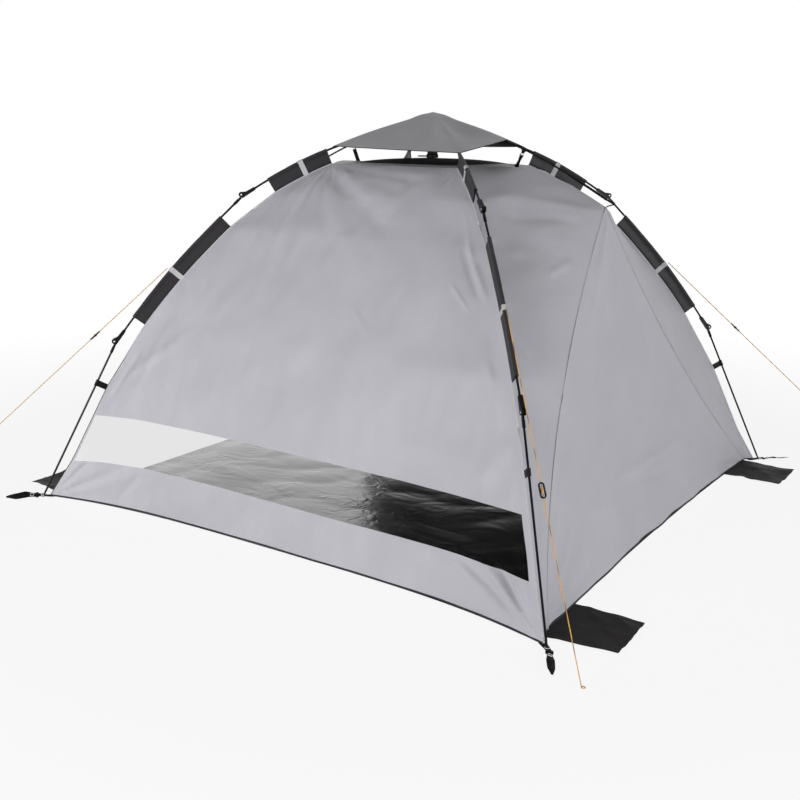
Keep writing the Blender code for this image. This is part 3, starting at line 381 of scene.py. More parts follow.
def edgeStation(part, share):
    if part == "lower" and share == 1.0:
        return flat(canopySizes["footEdge"])
    out = outward(poleWay(poles[part], share))
    return poleAt(poles[part], share) - out * canopySizes["edgeGap"][part]


def edgeAt(row):
    # the canopy's line under a leg, in the leg's own plane
    rows = canopySizes["rows"]
    first = min(int(row), len(rows) - 2)
    (partA, a), (partB, b) = rows[first], rows[first + 1]
    part = row - first
    if partA == partB and b < 1.0:
        return edgeStation(partA, a + (b - a) * part)
    return edgeStation(partA, a).lerp(edgeStation(partB, b), part)


def halfAt(row):
    return edgeAt(row).x * halfRoot


def sideAt(side, row, across):
    # a side wall: across runs from its front edge to its rear edge
    s = canopySizes
    edges = [np.interp(across, *s[name]) for name in ("windowTop", "windowFoot")]
    rows = [s["bands"]["lower"][0], *s["windowRows"], s["hemRow"]]
    row = row - np.interp(row, rows, [0, *edges, 0])
    half, height = halfAt(row), edgeAt(row).z
    along = 2 * across - 1
    bow = s["hemBow"] * (1 - height / edgeAt(0).z) ** s["bowPower"]
    bow *= 1 - abs(along) ** s["bowFlat"]
    return Vector((side * (half - bow), half * along, height))


def ridgeAt(row):
    points = [flat((halfAt(0), edgeAt(0).z)), *map(flat, canopySizes["ridge"])]
    first = min(int(row), 2)
    return points[first].lerp(points[first + 1], row - first)


def shareBelow(row, last):
    top = edgeAt(canopySizes["ridgeEnd"]).z
    return max(0.0, (top - edgeAt(row).z) / (top - edgeAt(last).z))


def legSide(row, right, rear):
    half = halfAt(row)
    return Vector((right * (half - canopySizes["seamGap"]), rear * half, edgeAt(row).z))


def bowedLine(a, middle, b, share):
    rest = 1.0 - share
    return a * rest**2 + middle * 2 * rest * share + b * share**2


def rearMeeting(row, right):
    # the line where the rear wall's wing is sewn to its panel, and above it the ridge
    s = canopySizes
    if row <= s["ridgeEnd"]:
        point = ridgeAt(row)
        return Vector((0.0, point.x, point.z))
    peak = Vector((0.0, *s["ridge"][-1]))
    foot = Vector((right * (halfAt(s["hemRow"]) - s["rearSeamMargin"][right]), s["rearHem"], 0.002))
    middle = (peak + foot) / 2 + Vector((right * 2 * s["rearSeamBow"][right], 0, 0))
    return bowedLine(peak, middle, foot, shareBelow(row, s["hemRow"]))


def frontMeeting(row, right):
    # the free edge of the awning, and above it the ridge
    s = canopySizes
    if row <= s["ridgeEnd"]:
        point = ridgeAt(row)
        return Vector((0.0, -point.x, point.z))
    peak = Vector((0.0, -s["ridge"][-1][0], s["ridge"][-1][1]))
    foot = legSide(s["frontEnd"], right, -1)
    middle = ((peak + foot) / 2).lerp(legSide(5, right, -1), 2 * s["frontHollow"])
    return bowedLine(peak, middle, foot, shareBelow(row, s["frontEnd"]))


# Cloth: a grid of points, its folds, and the patches that it is cut into
# Folds are rows of fans (at, toward, spread, spacing, reach, height, phase),
# lines (from, to, height, width) and slack (scale, height, seed), in metres and degrees

clothSettings = {
    "tentMiddle": (0.0, 0.0, 0.4), "lowest": 0.002, "pinDepth": 0.06, "pinPower": 0.8,
    "fan": {"sides": 0.6, "rise": 6.0, "fade": 1.4, "sway": 40.0, "swayScale": 9.0,
            "second": (0.35, 1.7, 50.0)},
    "lineOverrun": 0.05, "lineTaper": 5.0,
    "fills": {"cut": 0.8, "film": 0.97, "floor": 0.96, "flap": 0.94}, "shortest": 0.05,
}


def gridOf(pointAt, rows, columns):
    return np.array([[pointAt(row, share) for share in columns] for row in rows], float)


def gridNormals(grid):
    # square to the cloth and away from the middle of the tent
    fall = np.gradient(grid, axis=0)
    along = np.gradient(grid, axis=1)
    normal = np.cross(along, fall)
    size = np.linalg.norm(normal, axis=2, keepdims=True)
    normal /= np.maximum(size, 1e-9)
    a, b = grid.shape[0] // 2, grid.shape[1] // 2
    away = grid[a, b] - np.array(clothSettings["tentMiddle"])
    return normal if normal[a, b] @ away > 0 else -normal


def foldHeights(grid, normal, folds):
    s, f = clothSettings, clothSettings["fan"]
    height = np.zeros(grid.shape[:2])
    middle = normal[normal.shape[0] // 2, normal.shape[1] // 2]
    for at, toward, spread, spacing, longest, fanHeight, phase in folds.get("fans", []):
        # folds that radiate from a pull point
        gap = grid - np.array(at)
        toward = np.array(toward, float)
        toward -= middle * (toward @ middle)
        toward /= np.linalg.norm(toward)
        along, off = gap @ toward, gap @ np.cross(middle, toward)
        angle, reach = np.degrees(np.arctan2(off, along)), np.hypot(along, off)
        inside = np.clip(1 - np.abs(angle) / spread, 0, 1) ** f["sides"]
        shape = reach / longest
        strength = np.clip(shape * f["rise"], 0, 1) * np.clip(1 - shape, 0, 1) ** f["fade"]
        phase = 360.0 * angle / spacing + phase + f["sway"] * np.sin(reach * f["swayScale"])
        part, pace, start = f["second"]
        wave = np.cos(np.radians(phase)) + part * np.cos(np.radians(phase * pace + start))
        height += fanHeight * inside * strength * wave
    for start, end, lineHeight, width in folds.get("lines", []):
        # one soft ridge or furrow along a line
        a, b = np.array(start, float), np.array(end, float)
        length = np.linalg.norm(b - a)
        along = (grid - a) @ ((b - a) / length) / length
        gap = grid - (a + np.clip(along, 0, 1)[..., None] * (b - a))
        off = np.linalg.norm(gap - normal * np.sum(gap * normal, axis=2, keepdims=True), axis=2)
        over = s["lineOverrun"]
        taper = np.clip(np.minimum(along + over, 1 + over - along) * s["lineTaper"], 0, 1)
        height += lineHeight * np.exp(-(off / width) ** 2) * taper
    for scale, slackHeight, seed in folds["slack"]:
        # uneven slack, longer one way than the other
        places = grid * np.array(scale) + seed
        height += slackHeight * np.array([[noise.noise(Vector(p)) for p in row] for row in places])
    return height


def pinned(grid, free):
    # no fold at the borders that are sewn to something; free names the one that may wave
    s = clothSettings
    rows, columns = grid.shape[:2]
    fall, along = (np.linalg.norm(np.diff(grid, axis=axis), axis=2) for axis in (0, 1))
    fall = np.concatenate([np.zeros((1, columns)), np.cumsum(fall, 0)])
    along = np.concatenate([np.zeros((rows, 1)), np.cumsum(along, 1)], 1)
    gaps = {"top": fall, "bottom": fall[-1:] - fall, "start": along, "end": along[:, -1:] - along}
    hold = np.ones((rows, columns))
    for name, gap in gaps.items():
        if name != free:
            hold *= np.clip(gap / s["pinDepth"], 0, 1) ** s["pinPower"]
    return hold


def foldCloth(grid, folds, free, closedRow=None, openRow=None):
    # lays folds on a grid; a row that closes to one point takes the normals of an open row
    normal = gridNormals(grid)
    heights = foldHeights(grid, normal, folds) * pinned(grid, free)
    grid = grid + normal * heights[..., None]
    grid[..., 2] = np.maximum(grid[..., 2], clothSettings["lowest"])
    normal = gridNormals(grid)
    if closedRow is not None:
        normal[closedRow] = normal[openRow]
    return grid, normal


def putInScene(name, data):
    made = bpy.data.objects.new(name, data)
    bpy.context.scene.collection.objects.link(made)
    return made


def newObject(name, points, faces, materials):
    mesh = bpy.data.meshes.new(name)
    mesh.from_pydata([tuple(p) for p in points], [], faces)
    mesh.update()
    mesh.polygons.foreach_set("use_smooth", [True] * len(mesh.polygons))
    for one in materials:
        mesh.materials.append(one)
    return putInScene(name, mesh)


def cutPatch(name, grid, normal, rows, columns, look, holes=None, hemCells=None):
    # one patch of a grid, keeping the whole cloth's normals so that no cut shows
    r0, r1 = rows
    c0, c1 = columns
    width = c1 - c0 + 1
    points = grid[r0:r1 + 1, c0:c1 + 1].reshape(-1, 3)
    a, b = (r0 + r1) // 2, (c0 + c1) // 2
    cross = np.cross(grid[a + 1, b] - grid[a, b], grid[a, b + 1] - grid[a, b])
    turned = cross @ normal[a, b] > 0
    faces, kinds = [], []
    for r in range(r0, r1):
        for c in range(c0, c1):
            if holes and holes(r, c):
                continue
            i = (r - r0) * width + c - c0
            face = (i, i + 1, i + width + 1, i + width)
            faces.append((face[0], *face[:0:-1]) if turned else face)
            kinds.append(1 if hemCells and hemCells(r, c) else 0)
    made = newObject(name, points, faces, [looks[one] for one in look])
    made.data.polygons.foreach_set("material_index", kinds)
    ways = normal[r0:r1 + 1, c0:c1 + 1].reshape(-1, 3)
    made.data.normals_split_custom_set_from_vertices(ways.tolist())
    used = np.zeros(len(points), bool)
    for face in faces:
        used[list(face)] = True
    if not used.all():
        keepOnly(made, used)
    return made


def keepOnly(made, used):
    shell = bmesh.new()
    shell.from_mesh(made.data)
    spare = [vertex for vertex, keep in zip(shell.verts, used) if not keep]
    bmesh.ops.delete(shell, geom=spare, context="VERTS")
    shell.to_mesh(made.data)
    shell.free()


def areaOf(made):
    return sum(face.area for face in made.data.polygons)


def declareSheet(made, length):
    # only measures the sheet's area; a tapered cut fills about four fifths of its
    # rectangle
    area = areaOf(made)


def gather(made, corner, band, towards):
    # as the frame folds, the cloth of a leg's band moves with that part of the leg
    low, high = canopySizes["bands"][band]
    around = turn(corners[corner])
    start, end = around @ edgeAt(low), around @ edgeAt(high)
    towards = Vector(towards)
    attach(made, f"{band}_{corner}")
    tuple(start)
    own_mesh(made)


def nearest(values, wanted):
    return int(np.argmin(np.abs(np.array(values) - wanted)))


rowSteps = [0, 0.12, 0.25]
for low, high, steps in ((0.25, 2.5, 14), (2.5, 7.5, 44), (7.5, 9, 14), (9, 10, 11),
                         (10, 10.955, 10)):
    rowSteps += list(np.linspace(low, high, steps + 1)[1:])
rowSteps = np.array([*rowSteps, 11.0])


# Camera, at the photograph's viewing angle

cameraSettings = {"place": (3.6015, 2.2254, 1.4308), "yaw": 0.5802, "pitch": -0.2532, "roll": 0.015,
                  "lens": 47.04, "sensor": 36.0, "clip": 200.0}


def placeCamera():
    s = cameraSettings
    x, y = math.cos(s["yaw"]) * math.cos(s["pitch"]), math.sin(s["yaw"]) * math.cos(s["pitch"])
    forward = Vector((-x, -y, math.sin(s["pitch"])))
    right = forward.cross(Vector((0, 0, 1))).normalized()
    up = right.cross(forward)
    c, k = math.cos(s["roll"]), math.sin(s["roll"])
    right, up = right * c + up * k, up * c - right * k
    data = bpy.data.cameras.new("camera")
    data.lens, data.sensor_width, data.clip_end = s["lens"], s["sensor"], s["clip"]
    made = putInScene("camera", data)
    axes = Matrix((right, up, -forward)).transposed().to_4x4()
    made.matrix_world = Matrix.Translation(s["place"]) @ axes
    bpy.context.scene.camera = made


placeCamera()
print("camera placed")


# Tubes and straps

def tubeFaces(rows, count):
    return [(i * count + k, i * count + (k + 1) % count, (i + 1) * count + (k + 1) % count,
             (i + 1) * count + k) for i in range(rows - 1) for k in range(count)]


def sweep(name, points, section, look, widths=None, ups=None):
    # a section of (out, across) points carried along a line, with closed ends
    verts = []
    count = len(section)
    for i, point in enumerate(points):
        way = (points[min(i + 1, len(points) - 1)] - points[max(i - 1, 0)]).normalized()
        up = ups[i] if ups else Vector((0, 0, 1))
        across = way.cross(up)
        across = across.normalized() if across.length > 1e-6 else Vector((1, 0, 0))
        out = across.cross(way).normalized()
        size = widths[i] if widths else 1.0
        verts += [point + (out * x + across * y) * size for x, y in section]
    faces = tubeFaces(len(points), count)
    faces.append(tuple(range(count - 1, -1, -1)))
    faces.append(tuple(range(len(verts) - count, len(verts))))
    return newObject(name, verts, faces, [looks[look]])


def arc(radius, start, end, steps):
    angles = [math.radians(start + (end - start) * k / steps) for k in range(steps + 1)]
    return [(radius * math.cos(angle), radius * math.sin(angle)) for angle in angles]


def ring(radius, count):
    return arc(radius, 0, 360, count)[:-1]


def circle(centre, a, b, steps, start=0, end=360):
    # points round a centre, from one axis towards the other; the axes are as long as the radius
    return [centre + a * x + b * y for x, y in arc(1.0, start, end, steps)]


def band(width, thick):
    x, y = thick / 2, width / 2
    return [(x, -y), (x, y), (-x, y), (-x, -y)]


def joined(name, objects):
    # one object from several sweeps, each with its own look
    verts, faces, materials, kinds = [], [], [], []
    for one in objects:
        base = len(verts)
        verts += [tuple(vertex.co) for vertex in one.data.vertices]
        material = one.data.materials[0]
        if material not in materials:
            materials.append(material)
        faces += [tuple(base + v for v in face.vertices) for face in one.data.polygons]
        kinds += [materials.index(material)] * len(one.data.polygons)
        bpy.data.objects.remove(one)
    made = newObject(name, verts, faces, materials)
    made.data.polygons.foreach_set("material_index", kinds)
    return made


# Guy lines, which end in a tight knot on the ground

guySettings = {
    "radius": 0.0015, "sides": 8, "share": 0.53, "tabReach": 0.0157, "lift": 0.0003, "sag": 0.001,
    "steps": 12,
    "knot": {"radius": 0.005, "start": -60, "end": 210, "steps": 7},
    "ends": {"front_right": (1.250, -1.580), "rear_right": (1.240, 1.268),
             "rear_left": (-1.220, 1.620), "front_left": (-1.220, -1.560)},
}


def guyRoute(corner):
    s = guySettings
    around = turn(corners[corner]) @ poleFrame(poles["mid"], s["share"])
    start = around @ Vector((s["tabReach"], 0, s["lift"]))
    end = Vector((*s["ends"][corner], s["radius"] + s["lift"]))
    points = []
    for i in range(s["steps"] + 1):
        share = i / s["steps"]
        sag = Vector((0, 0, s["sag"] * 4 * share * (1 - share) ** 2))
        points.append(start.lerp(end, share) - sag)
    knot = s["knot"]
    heading = turn(math.degrees(math.atan2(end.y - start.y, end.x - start.x)))
    along, across = (heading @ Vector(way) * knot["radius"] for way in ((1, 0, 0), (0, 1, 0)))
    return points + circle(end + across, along, across, knot["steps"], knot["start"], knot["end"])


def makeGuyLine(corner):
    s = guySettings
    route = guyRoute(corner)
    made = sweep(f"guyCord_{corner}", route, ring(s["radius"], s["sides"]), "cord")
    length = sum((b - a).length for a, b in zip(route, route[1:]))
    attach(made, f"mid_{corner}")
    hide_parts(f"guy_line_{corner}")
    way = (route[s["steps"]] - route[0]).normalized()
    tuple(route[0])
    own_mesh(made)
    tuple(route[0])
    [tuple(p) for p in route]
    return route, way


# Line sliders: a moulded oval ring that the line runs through and turns back on

sliderSettings = {
    "length": 0.050, "width": 0.019, "barWidth": 0.0042, "thick": 0.0048, "bendSteps": 8,
    "shares": {"front_right": 0.30, "rear_right": 0.52, "rear_left": 0.30, "front_left": 0.30},
    "turns": 1.5, "turnSteps": 24, "turnRadius": 0.0042, "turnTaper": 0.2, "turnLength": 1.6,
    "turnShift": 0.0035,
}


def makeSlider(corner, route, way):
    s = sliderSettings
    place = s["shares"][corner] * guySettings["steps"]
    here = route[int(place)].lerp(route[int(place) + 1], place - int(place))
    across = way.cross(Vector((0, 0, 1))).normalized()
    flatSide = across.cross(way)
    straight = way * ((s["length"] - s["width"]) / 2)
    bend = (s["width"] - s["barWidth"]) / 2
    loop = circle(here + straight, way * bend, across * bend, s["bendSteps"], -90, 90)
    loop += circle(here - straight, way * bend, across * bend, s["bendSteps"], 90, 270)
    loop.append(loop[0])
    crossBar = [here + across * y for y in (-bend, 0, bend)]
    bar = band(s["barWidth"], s["thick"])
    ringMade = joined(f"lineSlider_{corner}", [
        sweep("ring", loop, bar, "nylon", ups=[flatSide] * len(loop)),
        sweep("crossBar", crossBar, bar, "nylon", ups=[flatSide] * 3)])
    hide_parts(f"guy_slider_{corner}")
    # the line's turn round the cross bar, with the short end tied above it
    turnBack = []
    for k in range(s["turnSteps"] + 1):
        share = k / s["turnSteps"]
        angle = 2 * math.pi * s["turns"] * share
        out = s["turnRadius"] * (1 - s["turnTaper"] * share)
        shift = s["turnShift"] * math.sin(angle / 2)
        turnBack.append(here + way * (out * math.cos(angle) * s["turnLength"])
                        + flatSide * (out * math.sin(angle)) + across * shift)
    cord = ring(guySettings["radius"], guySettings["sides"])
    wrap = sweep(f"lineTurn_{corner}", turnBack, cord, "cord")
    for one in (ringMade, wrap):
        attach(one, f"slider_{corner}")
        tuple(way)
        tuple(route[0])
        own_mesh(one)


for corner in corners:
    route, way = makeGuyLine(corner)
    makeSlider(corner, route, way)
print("guy lines made")


# Side walls, with their windows

sideFolds = {
    "fans": [
        ((0.28, 0.28, 1.31), (0.5, -0.6, -0.6), 60, 31, 1.0, 0.0018, 0),
        ((0.28, -0.28, 1.31), (0.5, 0.6, -0.6), 60, 22, 1.1, 0.0060, 60),
        ((1.08, 1.08, 0.0), (-0.1, -0.75, 0.5), 70, 17, 0.8, 0.0055, 30),
        ((1.08, -1.08, 0.0), (-0.1, 0.75, 0.5), 70, 19, 0.7, 0.0045, 0),
    ],
    "lines": [
        ((0.329, -0.290, 1.269), (0.526, 0.144, 1.091), -0.0075, 0.030),
        ((0.295, -0.272, 1.290), (0.448, 0.137, 1.177), 0.0075, 0.028),
        ((0.300, -0.250, 1.285), (0.360, 0.180, 1.250), -0.0052, 0.022),
        ((0.329, -0.276, 1.269), (0.585, 0.035, 1.014), 0.0052, 0.040),
        ((0.460, 0.420, 1.165), (0.594, 0.533, 1.009), 0.0045, 0.012),
        ((0.594, 0.533, 1.009), (0.666, 0.633, 0.905), 0.0052, 0.014),
        ((0.560, 0.480, 1.040), (0.666, 0.600, 0.903), -0.0045, 0.014),
        ((0.641, 0.483, 0.937), (0.687, 0.572, 0.869), 0.003, 0.008),
        ((0.698, 0.118, 0.834), (0.743, 0.214, 0.753), 0.003, 0.010),
        ((0.767, 0.690, 0.735), (0.846, 0.787, 0.572), 0.0045, 0.016),
        ((0.852, 0.805, 0.560), (0.893, 0.888, 0.477), -0.0037, 0.012),
        ((0.920, 0.740, 0.374), (0.866, 0.861, 0.535), 0.0059, 0.026),
        ((0.990, 0.640, 0.160), (1.065, 1.020, 0.027), 0.0069, 0.016),
        ((0.987, 0.724, 0.155), (1.065, 1.027, 0.027), -0.0069, 0.012),
        ((0.993, 0.816, 0.155), (1.074, 1.050, 0.014), 0.0096, 0.013),
        ((0.994, 0.868, 0.162), (1.072, 1.050, 0.017), -0.0082, 0.011),
        ((1.007, 0.929, 0.143), (1.069, 1.042, 0.020), 0.0082, 0.010),
        ((0.893, -0.854, 0.471), (0.787, -0.573, 0.686), 0.0037, 0.018),
        ((0.839, -0.793, 0.589), (0.923, -0.883, 0.393), -0.0037, 0.014),
        ((0.779, -0.685, 0.710), (0.911, -0.783, 0.406), 0.003, 0.018),
        ((0.900, -0.700, 0.420), (0.940, -0.660, 0.345), 0.003, 0.010),
        ((0.900, -0.560, 0.430), (0.945, -0.600, 0.350), -0.003, 0.010),
        ((1.010, -0.700, 0.150), (1.040, -0.780, 0.020), 0.0042, 0.014),
        ((1.010, -0.420, 0.150), (1.020, -0.360, 0.020), 0.0042, 0.014),
    ],
    "slack": [((2.0, 2.2, 3.6), 0.014, 0.0), ((7.0, 6.0, 6.0), 0.006, 7.3),
              ((14.0, 20.0, 8.0), 0.0028, 2.1)],
}


def sideColumns(row):
    s = canopySizes
    front, rear = s["windowMargins"]
    width = 2 * halfAt(row)
    gap = s["seamGap"] / width
    # closer together near the legs, where the folds are narrow
    steps = np.linspace(0, 1, s["sideSteps"] + 1)
    steps -= s["sideCrowding"] * np.sin(2 * math.pi * steps)
    inner = front / width + (1 - (front + rear) / width) * steps
    return [gap, *inner, 1 - gap]


def mirrored(folds, side):
    # the same folds on the other side of the tent, with slack of their own
    def over(place):
        return (-place[0], *place[1:])

    if side > 0:
        return folds
    return {"fans": [(over(at), over(toward), *rest) for at, toward, *rest in folds["fans"]],
            "lines": [(over(start), over(end), *rest) for start, end, *rest in folds["lines"]],
            "slack": [(scale, height, seed + 31.0) for scale, height, seed in folds["slack"]]}


def hemOf(rows):
    return lambda r, c: r >= len(rows) - 2


def cutBands(name, cloth, rows, columns, corner, towards, node, isHem, isHole=None, last=11.0):
    # cuts a cloth at its leg's elbows, so that each band goes with its own part of the leg
    for part, (low, high) in canopySizes["bands"].items():
        low, high = max(low, rows[0]), min(high, rows[-1], last)
        if high <= low:
            continue
        made = cutPatch(f"{name}_{part}", *cloth, (nearest(rows, low), nearest(rows, high)),
                        columns, ["silver", "hem"], isHole, isHem)
        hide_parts(node)
        gather(made, corner, part, towards)
        height = max((edgeAt(low) - edgeAt(high)).length, clothSettings["shortest"])
        declareSheet(made, height)


def makeSideWall(side, label):
    grid = np.array([[sideAt(side, row, share) for share in sideColumns(row)] for row in rowSteps])
    grid, normal = foldCloth(grid, mirrored(sideFolds, side), "bottom")
    head, sill = canopySizes["windowRows"]
    top, bottom = nearest(rowSteps, head), nearest(rowSteps, sill)
    last = grid.shape[1] - 1

    def isWindow(r, c):
        return top <= r < bottom and 1 <= c < last - 1

    for place, c0, c1 in (("front", 0, grid.shape[1] // 2), ("rear", grid.shape[1] // 2, last)):
        corner = f"{place}_{label}"
        towards = (0, -1 if place == "rear" else 1, 0)
        cutBands(f"sideWall_{corner}", (grid, normal), rowSteps, (c0, c1), corner, towards,
                 f"side_wall_{label}", hemOf(rowSteps), isWindow)
        film = cutPatch(f"windowFilm_{corner}", grid - normal * canopySizes["filmGap"], normal,
                        (top, bottom), (max(c0, 1), min(c1, last - 1)), ["vinyl"])
        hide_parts(f"window_film_{label}")
        gather(film, corner, "lower", towards)
        declareSheet(film, (edgeAt(head) - edgeAt(sill)).length)


for label, side in sides.items():
    makeSideWall(side, label)
print("side walls made")


# Rear wall and front awning

rearFolds = {
    "fans": [
        ((0.0, 0.74, 1.17), (0.5, 0.2, -1.0), 70, 33, 1.1, 0.0025, 0),
        ((1.08, 1.08, 0.0), (-0.8, 0.0, 0.5), 70, 14, 0.75, 0.006, 20),
        ((-1.08, 1.08, 0.0), (0.8, 0.0, 0.5), 70, 18, 0.8, 0.005, 50),
    ],
    "lines": [
        ((0.330, 0.440, 1.200), (0.050, 0.728, 1.155), 0.006, 0.024),
        ((0.391, 0.518, 1.153), (0.150, 0.700, 1.118), -0.005, 0.020),
        ((0.491, 0.607, 1.048), (0.391, 0.676, 1.032), 0.005, 0.012),
        ((0.412, 0.723, 0.970), (0.299, 0.750, 0.998), 0.005, 0.012),
        ((0.709, 0.721, 0.824), (0.684, 0.800, 0.734), 0.004, 0.012),
        ((0.356, 0.999, 0.194), (0.317, 1.038, 0.047), 0.004, 0.006),
        ((0.140, 0.994, 0.212), (0.097, 1.035, 0.058), 0.004, 0.006),
        ((0.301, 0.979, 0.269), (-0.408, 0.984, 0.251), 0.006, 0.018),
        ((0.200, 0.985, 0.230), (-0.200, 1.000, 0.170), -0.005, 0.014),
        ((0.582, 0.988, 0.235), (0.297, 1.002, 0.184), 0.004, 0.016),
        ((-0.063, 0.996, 0.207), (-0.536, 0.995, 0.210), 0.005, 0.012),
        ((-0.206, 1.036, 0.054), (-0.476, 1.024, 0.101), -0.005, 0.012),
        ((0.099, 0.946, 0.393), (-0.062, 0.941, 0.412), 0.004, 0.010),
        ((0.012, 0.747, 1.144), (0.322, 0.843, 0.781), 0.006, 0.030),
    ],
    "slack": [((3.2, 2.0, 1.6), 0.014, 3.1),
              ((7.0, 5.0, 5.0), 0.006, 9.7),
              ((12.0, 9.0, 13.0), 0.0026, 4.4)],
}
frontFolds = {"slack": [((3.0, 2.0, 4.0), 0.012, 5.5),
                        ((8.0, 6.0, 9.0), 0.004, 1.7)]}


def makeRearWall():
    steps = canopySizes["wingSteps"]
    for label, right in sides.items():
        def wingAt(row, share):
            return legSide(row, right, 1).lerp(rearMeeting(row, right), share)

        grid = gridOf(wingAt, rowSteps, np.linspace(0, 1, steps + 1))
        cutBands(f"rearWing_{label}", foldCloth(grid, rearFolds, "bottom"), rowSteps, (0, steps),
                 f"rear_{label}", (-right, 0, 0), "rear_wall", hemOf(rowSteps))
    top = canopySizes["ridgeEnd"]
    rows = rowSteps[nearest(rowSteps, top):]

    def panelAt(row, share):
        row = max(row, top)
        sag = canopySizes["rearHemBow"] * shareBelow(row, canopySizes["hemRow"])
        bowed = Vector((0, sag * 4 * share * (1 - share), 0))
        return rearMeeting(row, 1).lerp(rearMeeting(row, -1), share) - bowed

    grid = gridOf(panelAt, rows, np.linspace(0, 1, 2 * steps + 1))
    cloth = foldCloth(grid, rearFolds, "bottom", 0, 2)
    for label, right in sides.items():
        cutBands(f"rearPanel_{label}", cloth, rows, (0, steps) if right > 0 else (steps, 2 * steps),
                 f"rear_{label}", (-right, 0, 0), "rear_wall", hemOf(rows))


def makeAwning():
    last, steps = canopySizes["frontEnd"], canopySizes["awningSteps"]
    rows = rowSteps[:nearest(rowSteps, last) + 1]
    columns = [*np.linspace(0, canopySizes["awningHem"], steps), 1.0]
    first = nearest(rows, canopySizes["ridgeEnd"])
    for label, right in sides.items():
        def awningAt(row, share):
            return legSide(row, right, -1).lerp(frontMeeting(row, right), share)

        grid = gridOf(awningAt, rows, columns)
        cutBands(f"awning_{label}", foldCloth(grid, frontFolds, "end", -1, -3), rows, (0, steps),
                 f"front_{label}", (-right, 0, 0), "front_awning",
                 lambda r, c: c >= steps - 1 and r >= first, last=last)


makeRearWall()
makeAwning()
print("rear wall and awning made")


# Seams along the legs and the rear wall

seamSettings = {
    "legRadius": 0.0030, "tapeRadius": 0.0014, "width": 0.006, "thick": 0.0006, "lastRow": 10.97,
    "proud": (0, 0.0008, 0.0004), "lowest": 0.0006, "legPoints": 24, "rearPoints": 30,
    "sides": 8, "legUp": (1, 0, 0.6), "rearUp": (0, 1, 0.3),
}


def keepAbove(made, lowest):
    for vertex in made.data.vertices:
        vertex.co.z = max(vertex.co.z, lowest)


def makeLegSeams(corner):
    s = seamSettings
    around = turn(corners[corner])
    for part, (low, high) in canopySizes["bands"].items():
        rows = np.linspace(low, min(high, s["lastRow"]), s["legPoints"])
        points = [around @ edgeAt(row) for row in rows]
        ups = [around.to_3x3() @ Vector(s["legUp"])] * len(points)
        # the front edges end in a thin dark tape that is painted shade for the gap along those
        # edges, the others in the wall's own cloth
        shadeTape = corner.startswith("front") and part == "lower"
        radius, look = (s["tapeRadius"], "hem") if shadeTape else (s["legRadius"], "silver")
        made = sweep(f"legSeam_{corner}_{part}", points, ring(radius, s["sides"]), look, ups=ups)
        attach(made, f"{part}_{corner}")


def makeRearSeams(label, right):
    s = seamSettings
    for part in ("mid", "lower"):
        low, high = canopySizes["bands"][part]
        rows = np.linspace(max(low, canopySizes["ridgeEnd"]), high, s["rearPoints"])
        points = [rearMeeting(row, right) + Vector(s["proud"]) for row in rows]
        made = sweep(f"rearSeam_{label}_{part}", points, band(s["width"], s["thick"]), "silver",
                     ups=[Vector(s["rearUp"])] * len(points))
        keepAbove(made, s["lowest"])
        gather(made, f"rear_{label}", part, (-right, 0, 0))


for corner in corners:
    makeLegSeams(corner)
for label, right in sides.items():
    makeRearSeams(label, right)
print("seams made")


# Roof, vent and rain cap, cut between the arms so that each quarter goes down with its arm

def quarterCloth(name, corner, pointAt, radial, columns, look, node, isHem=None):
    grid = gridOf(pointAt, radial, columns)
    rows, across = (0, len(radial) - 1), (0, len(columns) - 1)
    made = cutPatch(name, grid, gridNormals(grid), rows, across, look, None, isHem)
    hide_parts(node)
    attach(made, f"arm_{corner}")
    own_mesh(made)
    return made


capSettings = {
    "top": 1.4990, "hollow": 0.011, "hollowFrom": 0.25, "hollowSkew": 0.8, "armRise": 0.007,
    "armSkew": 1.3, "armWidth": 9.0, "lining": 0.003,
    "knobBulge": 0.0045, "knobAt": 0.13, "knobWidth": 0.08, "browReach": 0.332, "browClear": 0.0075,
    "corners": {"front_right": (0.398, 1.3640), "rear_right": (0.428, 1.3520),
                "rear_left": (0.380, 1.3700), "front_left": (0.400, 1.3620)},
    "fullHollow": 22.5, "slackScale": 9.0, "slack": 0.004, "steps": (25, 30),
    "shares": (0.004, 0.982), "browPoints": 60,
    "roofSteps": (9, 25), "lengths": {"cap": 0.45, "roof": 0.10, "net": 0.32},
}


def browHeight(reach):
    places = [poleAt(brow, share) for share in np.linspace(0, 1, capSettings["browPoints"])]
    return float(np.interp(reach, [p.x for p in places], [p.z for p in places]))


def capPlaces():
    # reach and height of the cap's edge over the arms and the brow rods, by azimuth
    s = capSettings
    overBrow = (s["browReach"], browHeight(s["browReach"]) + s["browClear"])
    return {**{corners[corner]: place for corner, place in s["corners"].items()},
            **{azimuth: overBrow for azimuth in (-90.0, 90.0, 270.0)}}


edgePlaces = capPlaces()


def capEdge(azimuth):
    # straight between the corners at the window walls, lifted over the brow rods at front and rear
    azimuth = (azimuth + 90.0) % 360.0 - 90.0
    angles = sorted(edgePlaces)
    first = next(i for i in range(len(angles) - 1) if azimuth <= angles[i + 1] + 1e-6)
    a, b = (turn(angle) @ flat(edgePlaces[angle]) for angle in angles[first:first + 2])
    way = turn(azimuth) @ Vector((1, 0, 0))
    normal = Vector((way.y, -way.x, 0))
    return a.lerp(b, a.dot(normal) / (a - b).dot(normal))


def gapTo(azimuth, others):
    return min(abs((azimuth - other + 180) % 360 - 180) for other in others)


